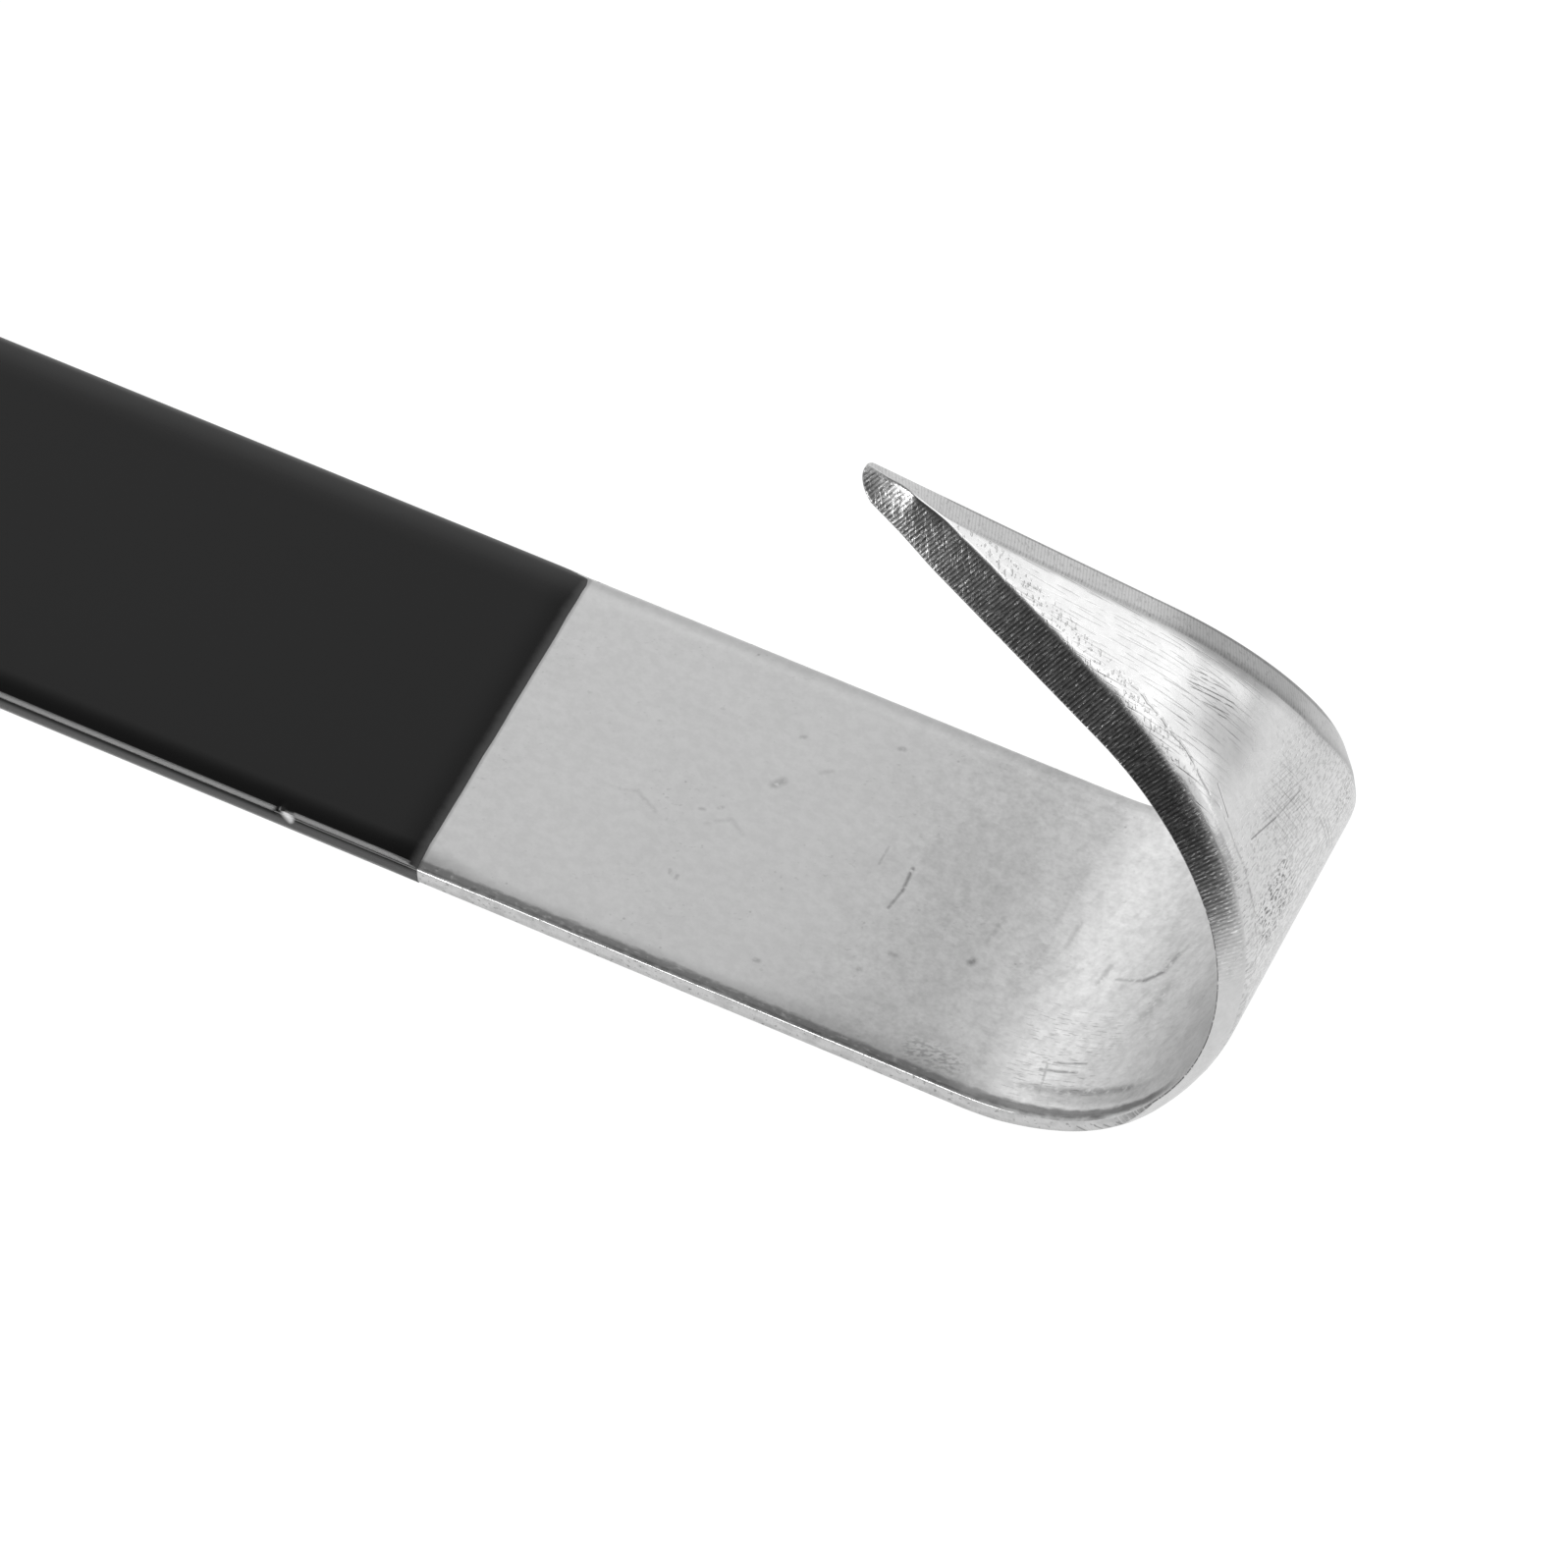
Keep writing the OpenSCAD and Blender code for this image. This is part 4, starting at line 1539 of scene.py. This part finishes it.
# Places where the room is dimmed: a direction, the degrees from it at which the dimming starts and
# is full, and the room's strength outside and inside. The strengths are multiplied together.
FLAGS = (
    (toward(66, 4), 26, 10, 2.0, 1.1),
    ((-0.03, 0.12, 0.99), 30, 12, 1.0, 0.25),
    (toward(84, 55), 13, 6, 1.0, 0.4),
)


@dataclass
class Studio:
    """A white floor, a sweep round it with dimmed places, three soft boxes and the camera."""

    eye: tuple[float, float, float] = (237.345, -473.241, 666.264)
    target: tuple[float, float, float] = (84.2515, 0.5181, 8.4346)
    roll: float = -7.8922
    lens: float = 225.693
    floor_r: float = 6.0
    floor_show: float = 0.9
    floor_glow: float = 1.08
    sensor: float = 36.0
    aim: tuple[float, float, float] = (0.1, 0, 0.02)

    def camera(self) -> None:
        """Places the camera and makes it the scene's own."""
        data = bpy.data.cameras.new("camera")
        data.lens, data.sensor_width, data.sensor_fit = self.lens, self.sensor, "HORIZONTAL"
        data.clip_start, data.clip_end = 0.01, 50.0
        eye, target = Vector(self.eye) * MM, Vector(self.target) * MM
        ahead = (target - eye).normalized()
        level = ahead.cross(Vector((0, 0, 1))).normalized()
        right = Matrix.Rotation(math.radians(self.roll), 3, ahead) @ level
        up = right.cross(ahead)
        turn = Matrix((right, up, -ahead)).transposed()
        holder = put("camera", data)
        holder.matrix_world = Matrix.Translation(eye) @ turn.to_4x4()
        bpy.context.scene.camera = holder

    def floor(self) -> None:
        """Lays the floor, white to the eye and in reflections, with the tool's shadow kept."""
        data = bpy.data.meshes.new("floor")
        ring = [
            (self.floor_r * math.cos(a), self.floor_r * math.sin(a), 0)
            for a in np.linspace(0, math.tau, 65)[:-1]
        ]
        data.from_pydata(ring, [], [list(range(64))])
        made = bpy.data.materials.new("matt_white_paper")
        made.use_nodes = True
        tree = made.node_tree
        tree.nodes.clear()
        path = add(tree, "ShaderNodeLightPath").outputs
        seen = add(
            tree, "ShaderNodeMath", {0: path["Is Camera Ray"], 1: path["Is Glossy Ray"]}, operation="MAXIMUM"
        )
        clear = add(tree, "ShaderNodeMath", {0: seen, 1: path["Is Transmission Ray"]}, operation="MAXIMUM")
        share = add(tree, "ShaderNodeMath", {0: clear, 1: self.floor_show}, operation="MULTIPLY")
        paper = add(tree, "ShaderNodeBsdfDiffuse", {"Color": linear("#f2f2f2")})
        white = add(tree, "ShaderNodeEmission", {"Color": (1, 1, 1, 1), "Strength": self.floor_glow})
        both = add(tree, "ShaderNodeMixShader", {0: share, 1: paper, 2: white})
        add(tree, "ShaderNodeOutputMaterial", {"Surface": both})
        data.materials.append(made)
        put("floor", data)

    def sweep(self) -> None:
        """Lights the room: bright all round and dark where the viewer stands, with a few dimmed places."""
        world = bpy.data.worlds.new("sweep")
        bpy.context.scene.world = world
        world.use_nodes = True
        tree = world.node_tree
        tree.nodes.clear()
        way = add(tree, "ShaderNodeTexCoord").outputs["Generated"]
        near = add(
            tree, "ShaderNodeVectorMath", {0: way, 1: toward(-50, 42)}, operation="DOT_PRODUCT"
        ).outputs["Value"]
        level = add(tree, "ShaderNodeMapRange", {"Value": near, "From Min": -1.0, "From Max": 1.0})
        glow = ramp(add(tree, "ShaderNodeValToRGB", {0: level}), [((d + 1) / 2, v) for d, v in GREYS])
        dims = []
        for direction, wide, narrow, outside, inside in FLAGS:
            facing = add(
                tree, "ShaderNodeVectorMath", {0: way, 1: direction}, operation="DOT_PRODUCT"
            ).outputs["Value"]
            edges = {"From Min": math.cos(math.radians(wide)), "From Max": math.cos(math.radians(narrow))}
            limits = {"Value": facing, "To Min": outside, "To Max": inside} | edges
            dim = add(tree, "ShaderNodeMapRange", limits, interpolation_type="SMOOTHSTEP")
            dims.append(dim)
        strength = dims[0]
        for dim in dims[1:]:
            strength = add(tree, "ShaderNodeMath", {0: strength, 1: dim}, operation="MULTIPLY")
        room = add(tree, "ShaderNodeBackground", {"Color": glow, "Strength": strength})
        white = add(tree, "ShaderNodeBackground", {"Color": (1, 1, 1, 1), "Strength": 1.0})
        seen = add(tree, "ShaderNodeLightPath").outputs["Is Camera Ray"]
        add(
            tree,
            "ShaderNodeOutputWorld",
            {"Surface": add(tree, "ShaderNodeMixShader", {0: seen, 1: room, 2: white})},
        )

    def soft_box(
        self,
        name: str,
        azimuth: float,
        elevation: float,
        away: float,
        size: tuple[float, float],
        radiance: float,
    ) -> None:
        """Hangs one soft box that faces the tool.

        Args:
            name: The lamp's name.
            azimuth: Direction from the tool, in degrees from +X towards +Y.
            elevation: Height above the horizon, in degrees.
            away: Distance in metres.
            size: Width and height in metres.
            radiance: How bright its face is, where 1 is white.
        """
        data = bpy.data.lights.new(name, "AREA")
        data.shape, data.size, data.size_y = "RECTANGLE", size[0], size[1]
        data.energy = radiance * math.pi * size[0] * size[1]
        data.color = (1, 1, 1)
        out = Vector(toward(azimuth, elevation))
        lamp = put(name, data)
        lamp.rotation_euler = out.to_track_quat("Z", "Y").to_euler()
        lamp.location = Vector(self.aim) + out * away
        lamp.visible_camera = False

    def build(self) -> None:
        """Sets the camera, floor, room and lamps, and plain colour handling."""
        self.camera()
        self.floor()
        self.sweep()
        self.soft_box("right_box", 58, 46, 1.6, (0.75, 0.8), 0.7)
        self.soft_box("shoulder_box", 26, 38, 1.6, (0.9, 1.25), 1.15)
        self.soft_box("front_box", -116, 50, 1.6, (0.42, 0.98), 9.5)
        bpy.context.scene.view_settings.view_transform = "Standard"


def dress(piece: bpy.types.Object, node: str) -> None:
    """Ties a piece to the frame and logs it.

    Args:
        piece: The finished piece.
        node: The node that it stands for.
    """
    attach(piece, "root")
    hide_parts(node)
    LOG.info("%s: %d faces", piece.name, len(piece.data.polygons))


def main() -> None:
    """Builds the studio, the blade and the grip."""
    logging.basicConfig(level=logging.INFO, format="%(name)s %(message)s")
    Studio().build()
    finishes = {
        Finish.TUMBLED: TumbledStainless().material(),
        Finish.SHEARED: ShearedStainless().material(),
        Finish.GROUND: GroundStainless().material(),
    }
    dress(SteelBlade().build(finishes), "blade")
    dress(GripCoat().build(BlackCoat().material()), "grip")


if __name__ == "__main__":
    main()
